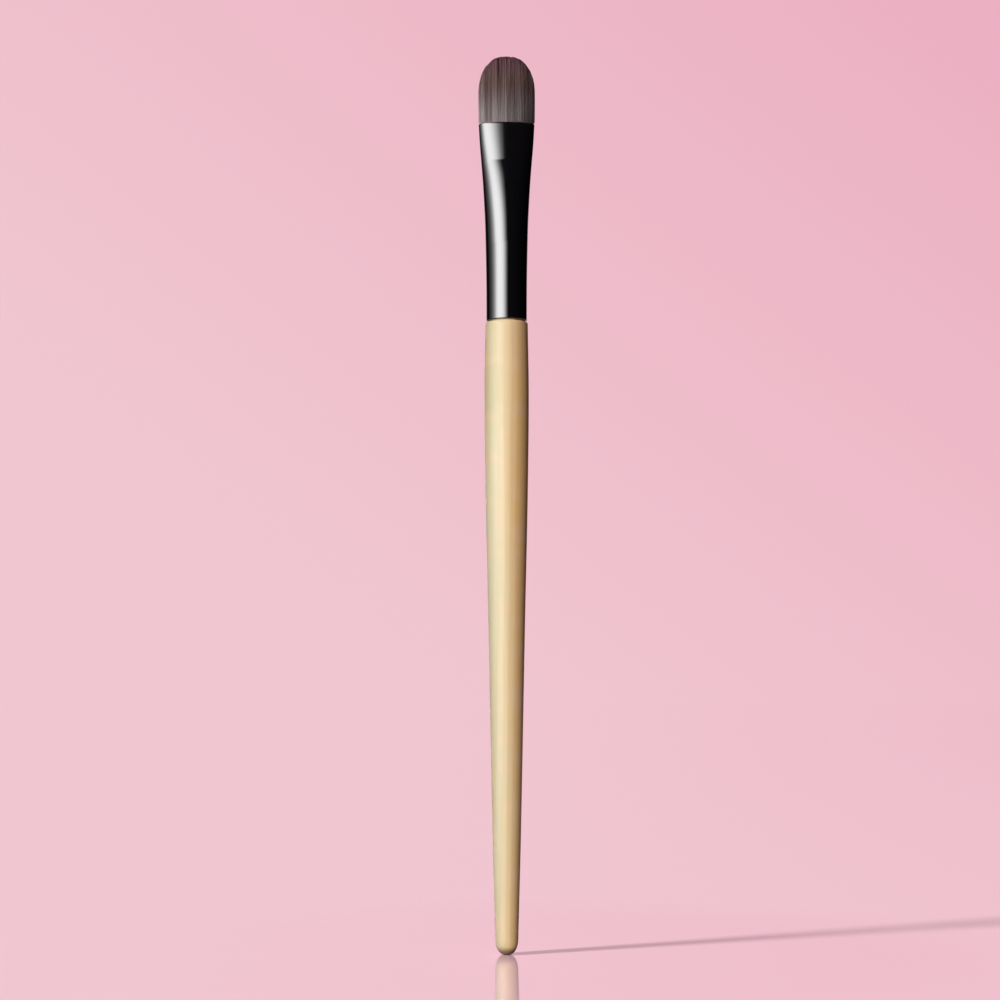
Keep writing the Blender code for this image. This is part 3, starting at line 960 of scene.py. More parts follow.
@dataclass(frozen=True)
class Ferrule:
    """The drawn tube: round on the handle, pressed to a flat oval at its mouth."""

    start: float = field(default_factory=lambda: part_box("ferrule")[0].z)
    mouth: float = field(default_factory=lambda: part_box("ferrule")[1].z)
    base_radius: float = 0.003965
    mouth_half_width: float = 0.00551
    mouth_half_thickness: float = 0.00235
    round_length: float = 0.0150
    crease_below_mouth: float = 0.00765
    crease_half_thickness: float = 0.00290
    crease_softness: float = 0.00018
    crease_reach: float = 0.00036
    crease_gap: float = 0.000396
    crease_stations: int = 16
    press_power: float = 2.2
    wall: float = 0.00035
    rim_round: float = 0.00010
    rim_stations: int = 5
    sides: int = 192
    long_stations: int = 150
    crisp_angle: float = 50.0
    flare_shares: tuple[Station, ...] = (
        (0.00, 0.000),
        (0.20, 0.030),
        (0.40, 0.125),
        (0.50, 0.195),
        (0.60, 0.315),
        (0.70, 0.460),
        (0.80, 0.650),
        (0.90, 0.855),
        (1.00, 1.000),
    )
    finish: BlackGloss = BlackGloss()

    @property
    def crease(self) -> float:
        """Height of the line where the press ended."""
        return self.mouth - self.crease_below_mouth

    def half_width(self, height: float) -> float:
        """Half width of the outside at a height."""
        share = curve_at(self.flare_shares, (height - self.start) / (self.mouth - self.start))
        return blend(self.base_radius, self.mouth_half_width, share)

    def _pressed(self, height: float) -> float:
        """Half thickness of the outside with a sharp crease.

        Args:
            height: Where to read it.

        Returns:
            The half thickness.
        """
        round_end = self.start + self.round_length
        if height <= round_end:
            return self.half_width(height)
        if height < self.crease:
            share = ((height - round_end) / (self.crease - round_end)) ** self.press_power
            return blend(self.half_width(round_end), self.crease_half_thickness, share)
        share = (height - self.crease) / self.crease_below_mouth
        return blend(self.crease_half_thickness, self.mouth_half_thickness, share)

    def half_thickness(self, height: float) -> float:
        """Half thickness of the outside, with the crease softened as sheet metal bends.

        Args:
            height: Where to read it.

        Returns:
            The half thickness.
        """
        reach, fold = self.crease_softness, self.crease_half_thickness
        if abs(height - self.crease) >= reach:
            return self._pressed(height)
        below, above = self._pressed(self.crease - reach), self._pressed(self.crease + reach)
        share = (height - self.crease + reach) / (2.0 * reach)
        return blend(blend(below, fold, share), blend(fold, above, share), share)

    def inside(self, height: float, clearance: float) -> Station:
        """Half width and half thickness of what fits inside at a height."""
        inset = self.wall + clearance
        return self.half_width(height) - inset, self.half_thickness(height) - inset

    def _heights(self) -> list[float]:
        """Heights of the rings, closer together round the crease.

        Returns:
            The heights, bottom to top, between the two rims.
        """
        low, high = self.start + self.rim_round, self.mouth - self.rim_round
        even = steps(low, high, self.long_stations)
        clear = [height for height in even if abs(height - self.crease) > self.crease_gap]
        near = steps(-self.crease_reach, self.crease_reach, self.crease_stations)
        return sorted(clear + [self.crease + offset for offset in near])

    def _outline(self) -> list[Station]:
        """The wall's closed outline: up the outside, round the mouth, down the inside.

        Returns:
            Pairs of height and inset from the outside.
        """
        outline = [(height, 0.0) for height in self._heights()]
        middle = self.wall / 2
        rim_turns = turns(2 * self.rim_stations, math.pi)[1:]
        for turn in rim_turns:
            height = self.mouth - self.rim_round + self.rim_round * math.sin(turn)
            outline.append((height, middle * (1.0 - math.cos(turn))))
        outline += [(height, self.wall) for height in reversed(self._heights())]
        for turn in rim_turns:
            height = self.start + self.rim_round - self.rim_round * math.sin(turn)
            outline.append((height, middle * (1.0 + math.cos(turn))))
        return outline

    def _ring(self, height: float, inset: float) -> list[Place]:
        """Sets out one oval ring of points.

        Args:
            height: The ring's height.
            inset: How far it lies inside the outer surface.

        Returns:
            The ring's points.
        """
        clamped = min(max(height, self.start), self.mouth)
        width = self.half_width(clamped) - inset
        thickness = self.half_thickness(clamped) - inset
        turned = [(math.cos(turn), math.sin(turn)) for turn in turns(self.sides)]
        return [(width * x, thickness * y, height) for x, y in turned]

    def build(self, effects: Effects) -> Piece:
        """Lofts the ferrule's wall through its rings and dresses it.

        Args:
            effects: The shared effect groups.

        Returns:
            The ferrule.
        """
        bm = bmesh.new()
        rings = [self._ring(height, inset) for height, inset in self._outline()]
        corners = [bm.verts.new(place) for ring in rings for place in ring]
        for face in quads(len(rings) + 1, self.sides, closed=True):
            bm.faces.new([corners[i % len(corners)] for i in face])
        bmesh.ops.recalc_face_normals(bm, faces=bm.faces)
        mesh = bpy.data.meshes.new("drawn_ferrule")
        bm.to_mesh(mesh)
        bm.free()
        mesh.materials.append(self.finish.material(effects))
        shade_round(mesh, self.crisp_angle)
        return hand_over(put_in_scene("drawn_ferrule", mesh), self.finish.slot, "ferrule")


@dataclass(frozen=True)
class FilamentRing:
    """One ring of the master filament, at a height of the whole bundle."""

    height: float
    half_width: float
    half_thickness: float
    free_share: float = 0.0
    fullness: float = 1.0


@dataclass(frozen=True)
class BristleTuft:
    """Some three thousand filaments, from their bound root to their domed tips."""

    ferrule: Ferrule
    filaments: int = 3000
    filament_radius: float = 0.000068
    filament_sides: int = 3
    clearance: float = 0.000068
    root_half_width: float = 0.00286
    root_half_thickness: float = 0.00201
    waist_half_width: float = 0.00212
    waist_half_thickness: float = 0.00128
    waist_height: float = 0.0020
    bound_height: float = 0.0049
    full_below_mouth: float = 0.0105
    belly_above_mouth: float = 0.00032
    spread_above_belly: float = 0.0024
    belly_half_width: float = 0.00549
    belly_half_thickness: float = 0.00208
    tip_half_width: float = 0.00554
    tip_half_thickness: float = 0.00055
    dome_start_above_mouth: float = 0.0061
    dome_power: float = 2.28
    chisel_drop: float = 0.00025
    raggedness: float = 0.00012
    lock_size: float = 0.00135
    lock_pull_share: float = 0.16
    lock_sway_share: float = 0.035
    lock_raggedness: float = 0.00010
    stray_share: float = 0.018
    swing_power: float = 1.5
    seed: int = 7
    free_ring_shares: tuple[Station, ...] = (
        (0.0, 1.0),
        (0.18, 1.0),
        (0.55, 1.0),
        (0.96, 0.95),
        (0.99, 0.7),
        (1.0, 0.0),
    )
    passing_names: tuple[str, ...] = ("ring_", "across", "through", "drift_", "tip_height", "spin")
    finish: FilamentGloss = FilamentGloss()

    @property
    def belly(self) -> float:
        """Height where the tuft is fullest, just above the mouth."""
        return self.ferrule.mouth + self.belly_above_mouth

    def _rings(self) -> list[FilamentRing]:
        """The master filament's rings, from its root to its point.

        Returns:
            The rings.
        """
        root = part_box("bristle_tuft")[0].z
        mouth = self.ferrule.mouth
        bound = (self.root_half_width, self.root_half_thickness)
        waist = (root + self.waist_height, self.waist_half_width, self.waist_half_thickness)
        rings = [
            FilamentRing(root, *bound),
            FilamentRing(*waist),
            FilamentRing(root + self.bound_height, *bound),
        ]
        for height in (mouth - self.full_below_mouth, self.ferrule.crease, mouth):
            rings.append(FilamentRing(height, *self.ferrule.inside(height, self.clearance)))
        fullest = (self.belly, self.belly_half_width, self.belly_half_thickness)
        for free_share, fullness in self.free_ring_shares:
            rings.append(FilamentRing(*fullest, free_share, fullness))
        return rings

    def _master_filament(self) -> bpy.types.Mesh:
        """One filament as a unit tube, whose rings carry their places as attributes.

        Returns:
            The mesh: closed at its root, and drawn to a point.
        """
        rings = self._rings()
        sides = self.filament_sides
        circle = [(math.cos(turn), math.sin(turn), 0.0) for turn in turns(sides)]
        places = circle * (len(rings) - 1)
        owners = [ring for ring in rings[:-1] for _ in range(sides)] + [rings[-1]]
        point = len(places)
        faces = [tuple(range(sides - 1, -1, -1))] + quads(len(rings) - 1, sides, closed=True)
        last = point - sides
        faces += [(last + i, last + (i + 1) % sides, point) for i in range(sides)]
        mesh = bpy.data.meshes.new("master_filament")
        mesh.from_pydata(places + [ORIGIN], [], faces)
        for label in FilamentRing.__dataclass_fields__:
            attribute = mesh.attributes.new("ring_" + label, "FLOAT", "POINT")
            attribute.data.foreach_set("value", [getattr(ring, label) for ring in owners])
        return mesh

    def _form_inputs(self) -> Inputs:
        """Names the inputs of the tree that grows the tuft.

        Returns:
            Each input's value, by name.
        """
        return {
            "Filament Radius": self.filament_radius,
            "Belly Height": self.belly,
            "Tip Height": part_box("bristle_tuft")[1].z,
            "Dome Start": self.ferrule.mouth + self.dome_start_above_mouth,
            "Belly Half Width": self.belly_half_width,
            "Belly Half Thickness": self.belly_half_thickness,
            "Tip Half Width": self.tip_half_width,
            "Tip Half Thickness": self.tip_half_thickness,
            "Spread Height": self.belly + self.spread_above_belly,
            "Chisel Drop": self.chisel_drop,
            "Raggedness": self.raggedness,
            "Lock Raggedness": self.lock_raggedness,
            "Lock Size": self.lock_size,
            "Lock Pull": self.lock_pull_share,
            "Lock Sway": self.lock_sway_share,
            "Stray": self.stray_share,
            "Dome Power": self.dome_power,
            "Filaments": self.filaments,
            "Seed": self.seed,
        }

    def _random(self, form: FormTree, low: object, high: object, draw: int) -> Socket:
        """Draws one random number for each filament.

        Args:
            form: The tuft's tree.
            low: The least value.
            high: The greatest value.
            draw: Which draw this is, so that no two are alike.

        Returns:
            The number.
        """
        seed = form.bench.math("ADD", form.given["Seed"], draw)
        feeds = {RANDOM_LOW: low, RANDOM_HIGH: high, "Seed": seed}
        node = form.bench.place("FunctionNodeRandomValue", feeds, data_type="FLOAT")
        return node.outputs[RANDOM_RESULT]

    def _stand(self, form: FormTree) -> tuple[Socket, Socket]:
        """Where each filament stands in the oval, as shares of its half width and half thickness.

        Args:
            form: The tuft's tree.

        Returns:
            The share across and the share through.
        """
        bench = form.bench
        index = bench.first("GeometryNodeInputIndex")
        turn = bench.product(index, GOLDEN_ANGLE)
        filled = bench.math("DIVIDE", bench.sum(index, 0.5), form.given["Filaments"])
        reach = bench.math("SQRT", filled)
        across = bench.product(reach, bench.math("COSINE", turn))
        return across, bench.product(reach, bench.math("SINE", turn))

    def _locks(self, form: FormTree, across: Socket, through: Socket) -> tuple[Socket, Socket, Socket]:
        """Gathers the filaments into small locks, which cling together at their tips.

        Args:
            form: The tuft's tree.
            across: Each filament's share across.
            through: Each filament's share through.

        Returns:
            The drift across, the drift through and the lock's own random tone.
        """
        bench, given = form.bench, form.given
        widths = (given["Belly Half Width"], given["Belly Half Thickness"])
        places = (bench.product(across, widths[0]), bench.product(through, widths[1]))
        scale = bench.math("DIVIDE", 1.0, given["Lock Size"])
        feeds = {"Vector": bench.vector(*places, 0.0), "Scale": scale}
        lock = bench.place("ShaderNodeTexVoronoi", feeds).outputs
        centres = bench.parts_of(lock["Position"])
        tone, lean, _ = bench.parts_of(lock["Color"])
        sway = bench.product(bench.less(bench.product(lean, 2.0), 1.0), given["Lock Sway"])
        drifts = []
        for own, centre, width, draw in zip(places, centres, widths, (1, 2)):
            gap = bench.math("DIVIDE", bench.less(centre, own), width)
            pull = bench.product(gap, given["Lock Pull"])
            stray = self._random(form, -1.0, 1.0, draw)
            drifts.append(bench.sum(pull, bench.product(stray, given["Stray"])))
        inner = bench.less(1.0, bench.product(across, across))
        return bench.product(bench.sum(drifts[0], sway), inner), drifts[1], tone

    def _tips(self, form: FormTree, across: Socket, through: Socket, lock_tone: Socket) -> Socket:
        """Height of each filament's tip: a dome across, a chisel through, and a little ragged.

        Args:
            form: The tuft's tree.
            across: Each filament's share across.
            through: Each filament's share through.
            lock_tone: The lock's own random tone.

        Returns:
            The height.
        """
        bench, given = form.bench, form.given
        power = given["Dome Power"]
        worn = bench.math("POWER", bench.math("ABSOLUTE", across), power)
        reach = bench.math("POWER", bench.less(1.0, worn), bench.math("DIVIDE", 1.0, power))
        rise = bench.less(given["Tip Height"], given["Dome Start"])
        dome = bench.sum(given["Dome Start"], bench.product(rise, reach))
        chisel = bench.product(given["Chisel Drop"], reach, through, through)
        ragged = self._random(form, 0.0, given["Raggedness"], 3)
        notched = bench.product(given["Lock Raggedness"], lock_tone)
        return bench.less(dome, bench.sum(chisel, ragged, notched))

    def _read(self, bench: NodeBench, label: str) -> Socket:
        """Reads a number that each point carries, for the tree."""
        return bench.first("GeometryNodeInputNamedAttribute", {"Name": label}, data_type="FLOAT")

    def _growing(self) -> FormTree:
        """Builds the tree that sets out the filaments and bends each to its place.

        Returns:
            The tree.
        """
        form = FormTree("tuft", self._form_inputs())
        bench, given = form.bench, form.given
        across, through = self._stand(form)
        drift_across, drift_through, lock_tone = self._locks(form, across, through)
        carried = {
            "across": across,
            "through": through,
            "drift_across": drift_across,
            "drift_through": drift_through,
            "tip_height": self._tips(form, across, through, lock_tone),
            "filament_tone": self._random(form, 0.0, 1.0, 4),
            "lock_tone": lock_tone,
            "spin": self._random(form, 0.0, math.tau, 5),
        }
        feeds = {"Count": given["Filaments"], "Position": ORIGIN, "Radius": self.filament_radius}
        points = bench.first("GeometryNodePoints", feeds)
        for label, value in carried.items():
            feeds = {"Geometry": points, "Name": label, "Value": value}
            points = bench.first("GeometryNodeStoreNamedAttribute", feeds, data_type="FLOAT")
        feeds = {"Points": points, "Instance": given["Geometry"]}
        planted = bench.first("GeometryNodeInstanceOnPoints", feeds)
        real = bench.first("GeometryNodeRealizeInstances", {0: planted})
        feeds = {"Geometry": real, "Position": self._bent_place(form)}
        form.close(bench.first("GeometryNodeSetPosition", feeds))
        return form

    def _bent_place(self, form: FormTree) -> Socket:
        """Place of each point of each filament, once it follows the bundle's spread.

        Args:
            form: The tuft's tree.

        Returns:
            The position.
        """
        bench, given = form.bench, form.given
        labels = FilamentRing.__dataclass_fields__
        ring = {label: self._read(bench, "ring_" + label) for label in labels}
        free = ring["free_share"]
        rise = bench.less(self._read(bench, "tip_height"), given["Belly Height"])
        height = bench.sum(ring["height"], bench.product(free, rise))
        swing = bench.math("POWER", free, self.swing_power)
        x, y, _ = bench.parts_of(bench.first("GeometryNodeInputPosition"))
        spin = self._read(bench, "spin")
        sine, cosine = bench.math("SINE", spin), bench.math("COSINE", spin)
        turned_x = bench.less(bench.product(x, cosine), bench.product(y, sine))
        turned_y = bench.sum(bench.product(x, sine), bench.product(y, cosine))
        thick = bench.product(ring["fullness"], given["Filament Radius"])
        spans = (
            ("across", "half_width", "Half Width", turned_x, "Spread Height"),
            ("through", "half_thickness", "Half Thickness", turned_y, "Tip Height"),
        )
        parts = []
        for stand, size, axis, side, end in spans:
            belly_size = given["Belly " + axis]
            heights, sizes = (given["Belly Height"], given[end]), (belly_size, given["Tip " + axis])
            gained = bench.less(bench.span(height, heights, sizes), belly_size)
            half = bench.sum(ring[size], gained)
            drift = bench.product(swing, self._read(bench, "drift_" + stand))
            share = bench.sum(self._read(bench, stand), drift)
            parts.append(bench.sum(bench.product(share, half), bench.product(side, thick)))
        return bench.vector(*parts, height)

    def build(self, effects: Effects) -> Piece:
        """Grows the tuft and dresses it.

        Args:
            effects: The shared effect groups.

        Returns:
            The tuft.
        """
        material = self.finish.material(effects)
        piece = self._growing().run(TUFT_NAME, self._master_filament(), material)
        attributes = piece.data.attributes
        for name in [a.name for a in attributes if a.name.startswith(self.passing_names)]:
            attributes.remove(attributes[name])
        piece.data.shade_smooth()
        return hand_over(piece, self.finish.slot, "bristle_tuft")


@dataclass(frozen=True)
class RootBinding:
    """The waxed thread wound round the root of the bundle."""

    strand_radius: float = 0.00016
    half_width: float = 0.00240
    half_thickness: float = 0.00155
    pitch: float = 0.00034
    turns: float = 4.0
    points_per_turn: int = 40
    sides: int = 10
    crisp_angle: float = 60.0
    finish: WaxedThread = WaxedThread()

    def _winding(self) -> FormTree:
        """Builds the tree that winds a thread round an oval.

        Returns:
            The tree.
        """
        low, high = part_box("root_thread")
        inputs = {
            "Points": round(self.turns * self.points_per_turn) + 1,
            "Turns": self.turns,
            "Pitch": self.pitch,
            "Half Width": self.half_width,
            "Half Thickness": self.half_thickness,
            "Middle Height": (low.z + high.z) / 2,
            "Thread Radius": self.strand_radius,
            "Sides": self.sides,
        }
        form = FormTree("winding", inputs)
        bench, given = form.bench, form.given
        feeds = {"Count": given["Points"], "Start Location": ORIGIN, "Offset": (0.0, 0.0, MILLIMETRE)}
        line = bench.first("GeometryNodeMeshLine", feeds)
        route = bench.first("GeometryNodeMeshToCurve", {"Mesh": line})
        index = bench.first("GeometryNodeInputIndex")
        done = bench.math("DIVIDE", index, bench.less(given["Points"], 1.0))
        turn = bench.product(done, given["Turns"], math.tau)
        x = bench.product(given["Half Width"], bench.math("COSINE", turn))
        y = bench.product(given["Half Thickness"], bench.math("SINE", turn))
        rise = bench.product(bench.less(done, 0.5), given["Turns"], given["Pitch"])
        place = bench.vector(x, y, bench.sum(given["Middle Height"], rise))
        wound = bench.first("GeometryNodeSetPosition", {"Geometry": route, "Position": place})
        feeds = {"Resolution": given["Sides"], "Radius": given["Thread Radius"]}
        ring = bench.first("GeometryNodeCurvePrimitiveCircle", feeds)
        feeds = {"Curve": wound, "Profile Curve": ring, "Fill Caps": True}
        form.close(bench.first("GeometryNodeCurveToMesh", feeds))
        return form

    def build(self, effects: Effects) -> Piece:
        """Winds the thread and dresses it.

        Args:
            effects: The shared effect groups.

        Returns:
            The thread.
        """
        base = bpy.data.meshes.new("winding_base")
        piece = self._winding().run("wound_thread", base, self.finish.material(effects))
        shade_round(piece.data, self.crisp_angle)
        return hand_over(piece, self.finish.slot, "root_thread")


@dataclass(frozen=True)
class HiddenJoints:
    """The cast resin and the glue, whose shapes in the frame are right as they are."""

    finishes: tuple[tuple[str, CastFill], ...] = (
        ("root_resin", CAST_RESIN),
        ("tenon_glue", CURED_GLUE),
    )

    def dress(self, effects: Effects) -> list[Piece]:
        """Gives each of the frame's own nodes its finish.

        Args:
            effects: The shared effect groups.

        Returns:
            The dressed nodes.
        """
        dressed = []
        for name, finish in self.finishes:
            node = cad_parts[name]
            node.data.materials.clear()
            node.data.materials.append(finish.material(effects))
            dressed.append(node)
        return dressed


@dataclass(frozen=True)
class Lamp:
    """One far lamp, by the compass angle and elevation that it shines from, in degrees."""

    name: str
    angle: float
    elevation: float
    strength: float
    width: float
    lights: Lit = Lit.BRUSH

    def hang(self, lit: bpy.types.Collection) -> None:
        """Hangs the lamp, which shows in nothing's gloss.

        Args:
            lit: The things that it shines on.
        """
        light = bpy.data.lights.new(self.name, "SUN")
        light.energy = self.strength
        light.angle = math.radians(self.width)
        rise = math.radians(self.elevation)
        towards = compass(self.angle, math.cos(rise), math.sin(rise))
        lamp = put_in_scene(self.name, light)
        lamp.location = towards
        lamp.rotation_euler = towards.to_track_quat("Z", "Y").to_euler()
        lamp.visible_glossy = False
        lamp.light_linking.receiver_collection = lit


@dataclass(frozen=True)
class ScreenRow:
    """One level line of a screen.

    Its near edge fades between two compass angles, and far_turn shifts the fading of its far side.
    """

    radius: float
    height: float
    peak: float = 0.0
    dark_from: float = 0.0
    full_from: float = -1.0
    far_turn: float = 0.0


@dataclass(frozen=True)
class Screen:
    """A curved sheet that stands round the brush and shows only in its gloss."""

    name: str
    angles: Station
    rows: tuple[ScreenRow, ...]
    radiance: float = 0.0
    step: float = 1.0
    edge_shares: tuple[Station, ...] = (
        (0.0, 0.0),
        (0.2, 0.15),
        (0.4, 0.45),
        (0.6, 0.75),
        (0.8, 0.92),
        (1.0, 1.0),
    )
    far_levels: tuple[Station, ...] = (
        (-128.0, 0.0),
        (-108.0, 0.03),
        (-97.0, 0.08),
        (-88.0, 0.18),
        (-80.0, 0.32),
        (-74.0, 0.50),
        (-68.0, 0.74),
        (-62.0, 0.90),
        (-55.0, 0.98),
        (-50.0, 1.0),
    )
    hidden_rays: tuple[str, ...] = ("camera", "diffuse", "transmission", "volume_scatter", "shadow")

    def _level(self, row: ScreenRow, angle: float) -> float:
        """How bright the sheet is at one point.

        Args:
            row: The level line that the point is on.
            angle: Its compass angle.

        Returns:
            The brightness, as a share of the sheet's radiance.
        """
        inside = (row.dark_from - angle) / (row.dark_from - row.full_from)
        far_level = line_at(self.far_levels, angle - row.far_turn)
        return row.peak * line_at(self.edge_shares, inside) * far_level

    def _sheet(self) -> bpy.types.Mesh:
        """Lays out the sheet and stores how bright each point is.

        Returns:
            The sheet's mesh, with the attribute glow.
        """
        first, last = self.angles
        columns = int((last - first) / self.step)
        spots = [(row, angle) for row in self.rows for angle in steps(first, last, columns)]
        places = [compass(angle, row.radius, row.height) for row, angle in spots]
        mesh = bpy.data.meshes.new(self.name)
        mesh.from_pydata(places, [], quads(len(self.rows), columns + 1, closed=False))
        glow = mesh.attributes.new("glow", "FLOAT", "POINT")
        glow.data.foreach_set("value", [self._level(row, angle) for row, angle in spots])
        return mesh

    def stand(self, lit: bpy.types.Collection) -> None:
        """Stands the sheet in the studio.

        Args:
            lit: The pieces that it shines on.
        """
        material = bpy.data.materials.new(self.name)
        bench = NodeBench(cleared(material))
        strength = bench.product(bench.attribute("glow"), self.radiance)
        light = bench.first("ShaderNodeEmission", {"Strength": strength})
        bench.place("ShaderNodeOutputMaterial", {"Surface": light})
        mesh = self._sheet()
        mesh.materials.append(material)
        sheet = put_in_scene(self.name, mesh)
        for kind in self.hidden_rays:
            setattr(sheet, "visible_" + kind, False)
        sheet.light_linking.receiver_collection = lit


def seen_rays(bench: NodeBench) -> Socket:
    """Finds the rays that show the backdrop.

    Args:
        bench: The bench of the material or world that asks.

    Returns:
        1 for camera, glossy and transmission rays, and 0 for all others.
    """
    rays = bench.place("ShaderNodeLightPath").outputs
    shown = bench.sum(rays["Is Camera Ray"], rays["Is Glossy Ray"])
    return bench.math("ADD", shown, rays["Is Transmission Ray"], clamp=True)


@dataclass(frozen=True)
class Backdrop:
    """The colour behind the floor, deeper towards the top right, and a weak even light."""

    pale: Colour = (0.871, 0.570, 0.638)
    deep: Colour = (0.831, 0.423, 0.533)
    ambient: Colour = (0.030, 0.022, 0.022)
    depth_at_centre: float = 0.054
    depth_to_right: float = 1.43
    depth_upwards: float = 1.85

    def colour_at(self, bench: NodeBench, x: object, z: object) -> Socket:
        """Works out the colour in a direction.

        Args:
            bench: The bench of the material that shows it.
            x: How far the direction points to the right.
            z: How far it points up.

        Returns:
            The colour.
        """
        to_right = bench.product(x, self.depth_to_right)
        rise = bench.sum(to_right, bench.product(z, self.depth_upwards))
        depth = bench.math("ADD", rise, self.depth_at_centre, clamp=True)
        return bench.mix_colours(depth, self.pale, self.deep)

    def hang(self) -> None:
        """Sets the world: the colour for rays that show it, and the weak light for the others."""
        world = bpy.data.worlds.new("backdrop")
        bench = NodeBench(cleared(world))
        x, _, z = bench.parts_of(bench.place("ShaderNodeTexCoord").outputs["Generated"])
        shown = bench.mix_colours(seen_rays(bench), self.ambient, self.colour_at(bench, x, z))
        light = bench.first("ShaderNodeBackground", {"Color": shown})
        bench.place("ShaderNodeOutputWorld", {"Surface": light})
        bpy.context.scene.world = world


@dataclass(frozen=True)
class Floor:
    """A wide glossy pink floor, which keeps the brush's shadow and a faint reflection of it."""

    half_size: float = 8.0
    segments: int = 8
    drop: float = 0.00005
    lit_shares: Station = (0.86, 0.36)
    lit_reach: Station = (0.058, 0.102)
    bounce_share: float = 0.09
    mirror_facing: Station = (0.74, 0.90)
    mirror_share: float = 0.66
    mirror_reach: Station = (0.065, 0.12)
    mirror_roughness: float = 0.06

    def lay(self, backdrop: Backdrop) -> Piece:
        """Lays the floor just under the butt.

        Args:
            backdrop: What the floor runs into.

        Returns:
            The floor.
        """
        bm = bmesh.new()
        count = self.segments
        bmesh.ops.create_grid(bm, x_segments=count, y_segments=count, size=self.half_size)
        bmesh.ops.translate(bm, verts=bm.verts, vec=(0.0, 0.0, -self.drop))
        mesh = bpy.data.meshes.new("floor")
        bm.to_mesh(mesh)
        bm.free()
        mesh.materials.append(self._material(backdrop))
        floor = put_in_scene("floor", mesh)
        return floor

    def _material(self, backdrop: Backdrop) -> Material:
        """Builds the floor's material.

        Part of it is lit and part glows, so that it meets the backdrop's colour.

        Args:
            backdrop: What the floor runs into.

        Returns:
            The material.
        """
        material = bpy.data.materials.new("pink_floor")
        bench = NodeBench(cleared(material))
        seen = seen_rays(bench)
        x, y, _ = bench.parts_of(bench.place("ShaderNodeTexCoord").outputs["Object"])
        squared = bench.sum(bench.product(x, x), bench.product(y, y))
        distance = bench.math("SQRT", squared)
        turned = bench.math("DIVIDE", x, bench.math("SQRT", bench.sum(squared, 1.0)))
        colour = backdrop.colour_at(bench, turned, 0.0)
        lit_share = bench.span(distance, self.lit_reach, self.lit_shares)
        level = bench.span(seen, WHOLE, (self.bounce_share, lit_share), even=True)
        scaled = bench.vector_math("SCALE", {0: colour, "Scale": level})
        lit = bench.first("ShaderNodeBsdfDiffuse", {"Color": scaled})
        taken = tuple(-1.0 - part for part in backdrop.ambient)
        rest = bench.vector_math("MULTIPLY_ADD", {0: lit_share, 1: taken, 2: WHITE})
        glow_colour = bench.mix_colours(1.0, colour, rest, mode="MULTIPLY")
        glow = bench.first("ShaderNodeEmission", {"Color": glow_colour, "Strength": seen})
        matt = bench.first("ShaderNodeAddShader", {0: lit, 1: glow})
        feeds = {"Color": opaque(WHITE), "Roughness": self.mirror_roughness}
        mirror = bench.first("ShaderNodeBsdfGlossy", feeds)
        facing = bench.place("ShaderNodeLayerWeight", {"Blend": 0.5}).outputs["Facing"]
        near = bench.span(distance, self.mirror_reach, (1.0, 0.0))
        grazing = bench.span(facing, self.mirror_facing, (0.0, self.mirror_share), even=True)
        share = bench.product(grazing, near, seen)
        mixed = bench.first("ShaderNodeMixShader", {0: share, 1: matt, 2: mirror})
        bench.place("ShaderNodeOutputMaterial", {"Surface": mixed})
        return material


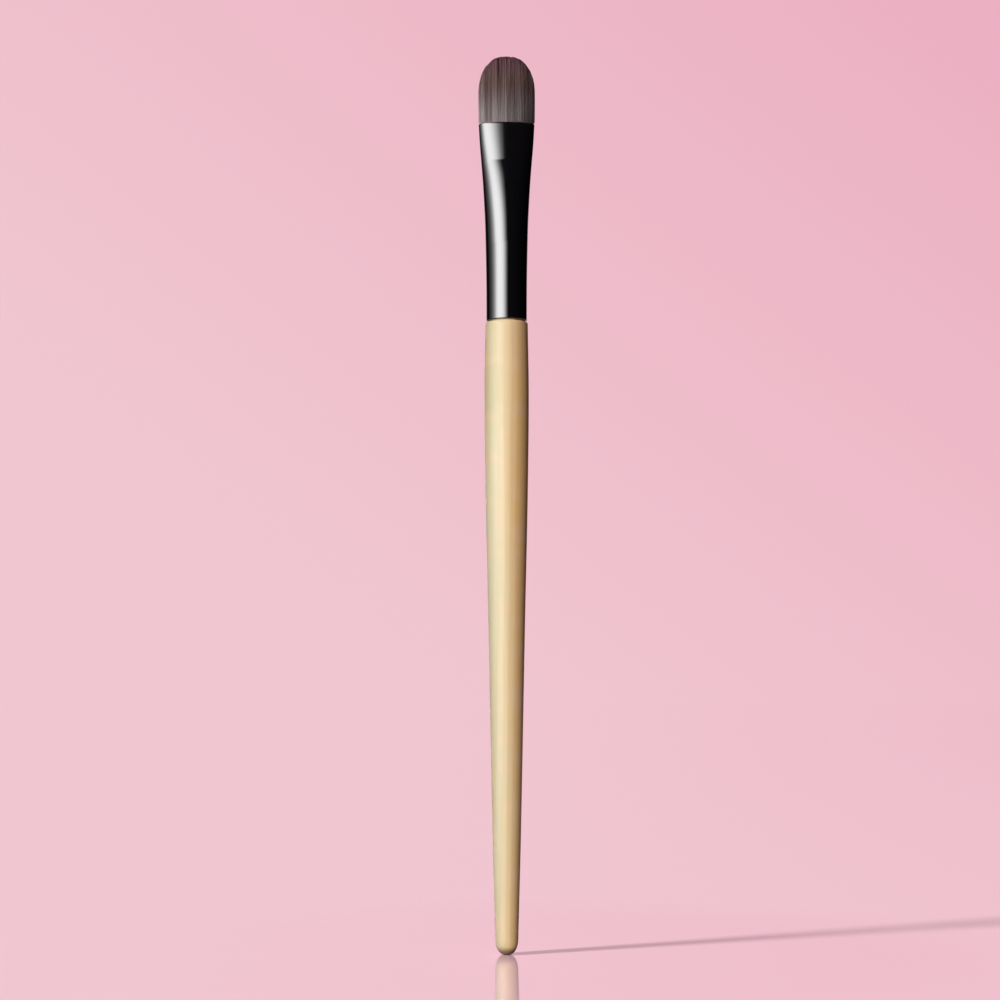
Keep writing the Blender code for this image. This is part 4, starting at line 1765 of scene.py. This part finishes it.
@dataclass(frozen=True)
class Studio:
    """Floor, backdrop, lamps, screens and camera."""

    backdrop: Backdrop = Backdrop()
    floor: Floor = Floor()
    lamps: tuple[Lamp, ...] = (
        Lamp("floor_lamp", -62.0, 42.0, math.pi / math.sin(math.radians(42.0)), 6.2, Lit.GROUND),
        Lamp("key_lamp", -20.0, 12.0, 2.60, 12.0, Lit.STEM),
        Lamp("side_lamp", -50.0, 12.0, 0.84, 12.0),
        Lamp("tuft_lamp", -71.0, 14.0, 8.6, 38.0, Lit.TUFT),
        Lamp("back_lamp", 180.0, 28.0, 2.6, 20.0),
        Lamp("rim_lamp", 152.0, 20.0, 0.5, 20.0),
    )
    left_angles: Station = (-128.0, 9.0)
    left_radiance: float = 18.7
    foot_radius: float = 0.25
    left_radius: float = 0.55
    left_rows: tuple[tuple[float, ...], ...] = (
        (0.001, 0.5, 7.0, -33.0, 9.5),
        (0.020, 1.0, 7.0, -33.0, 9.5),
        (0.226, 1.0, 7.0, -33.0, 9.5),
        (0.256, 1.0, 4.0, -38.0, 5.0),
        (0.298, 1.0, 2.0, -40.0, 2.0),
        (0.344, 0.98, -1.0, -44.0, 1.0),
        (0.386, 0.94, -5.0, -49.0),
        (0.411, 0.92, -6.0, -54.0),
        (0.437, 0.85, -8.0, -55.0),
        (0.459, 0.80, -12.0, -58.0),
        (0.478, 0.70, -14.0, -66.0),
        (0.500, 0.60, -14.0, -70.0),
        (0.540, 0.0, -14.0, -70.0),
    )
    card_radius: float = 0.62
    card_heights: Station = (0.001, 0.62)
    cards: tuple[tuple[str, Station], ...] = (
        ("right_card", (-6.0, 154.0)),
        ("left_card", (-154.0, -128.0)),
    )
    camera_place: Place = (-0.0013, -0.4095, 0.0501)
    camera_pitch: float = 5.124
    camera_lens: float = 76.28
    sensor_width: float = 36.0
    clip_start: float = 0.01

    def _camera(self) -> None:
        """Sets up the camera at the photograph's viewing angle."""
        lens = bpy.data.cameras.new("camera")
        lens.lens = self.camera_lens
        lens.sensor_width = self.sensor_width
        lens.sensor_fit = "HORIZONTAL"
        lens.clip_start = self.clip_start
        camera = put_in_scene("camera", lens)
        camera.location = self.camera_place
        camera.rotation_euler = (math.radians(90.0 + self.camera_pitch), 0.0, 0.0)
        bpy.context.scene.camera = camera

    def _screens(self) -> list[Screen]:
        """The bright screen on the left, which fades away at its top, and the black cards.

        Returns:
            The screens.
        """
        left = [ScreenRow(self.foot_radius, *self.left_rows[0])]
        left += [ScreenRow(self.left_radius, *row) for row in self.left_rows]
        card = tuple(ScreenRow(self.card_radius, height) for height in self.card_heights)
        screens = [Screen("left_screen", self.left_angles, tuple(left), self.left_radiance)]
        return screens + [Screen(name, angles, card) for name, angles in self.cards]

    def set_up(self, pieces: Iterable[Piece]) -> None:
        """Sets the whole studio up round the brush.

        Args:
            pieces: The pieces that the screens shine on.
        """
        lit = {group: bpy.data.collections.new(group.value) for group in Lit}
        for piece in pieces:
            lit[Lit.BRUSH].objects.link(piece)
            own_group = Lit.TUFT if piece.name == TUFT_NAME else Lit.STEM
            lit[own_group].objects.link(piece)
        lit[Lit.GROUND].objects.link(self.floor.lay(self.backdrop))
        for screen in self._screens():
            screen.stand(lit[Lit.BRUSH])
        for lamp in self.lamps:
            lamp.hang(lit[lamp.lights])
        self.backdrop.hang()
        self._camera()
        bpy.context.scene.view_settings.view_transform = "Standard"


def report(piece: Piece) -> None:
    """Logs a piece's name, size and number of triangles.

    Args:
        piece: The finished piece.
    """
    spans = [max(axis) - min(axis) for axis in zip(*piece.bound_box)]
    triangles = sum(len(face.vertices) - 2 for face in piece.data.polygons)
    sizes = " x ".join(f"{span / MILLIMETRE:.2f}" for span in spans)
    log.info("%s: %s mm, %d triangles", piece.name, sizes, triangles)


def main() -> None:
    """Builds the brush from its butt to its tips, then the studio round it."""
    logging.basicConfig(level=logging.INFO, format="%(name)s %(message)s")
    effects = Effects()
    ferrule = Ferrule()
    builders = (Handle(), ferrule, RootBinding(), BristleTuft(ferrule))
    pieces = [builder.build(effects) for builder in builders]
    pieces += HiddenJoints().dress(effects)
    for piece in pieces:
        report(piece)
    Studio().set_up(pieces)


if __name__ == "__main__":
    main()
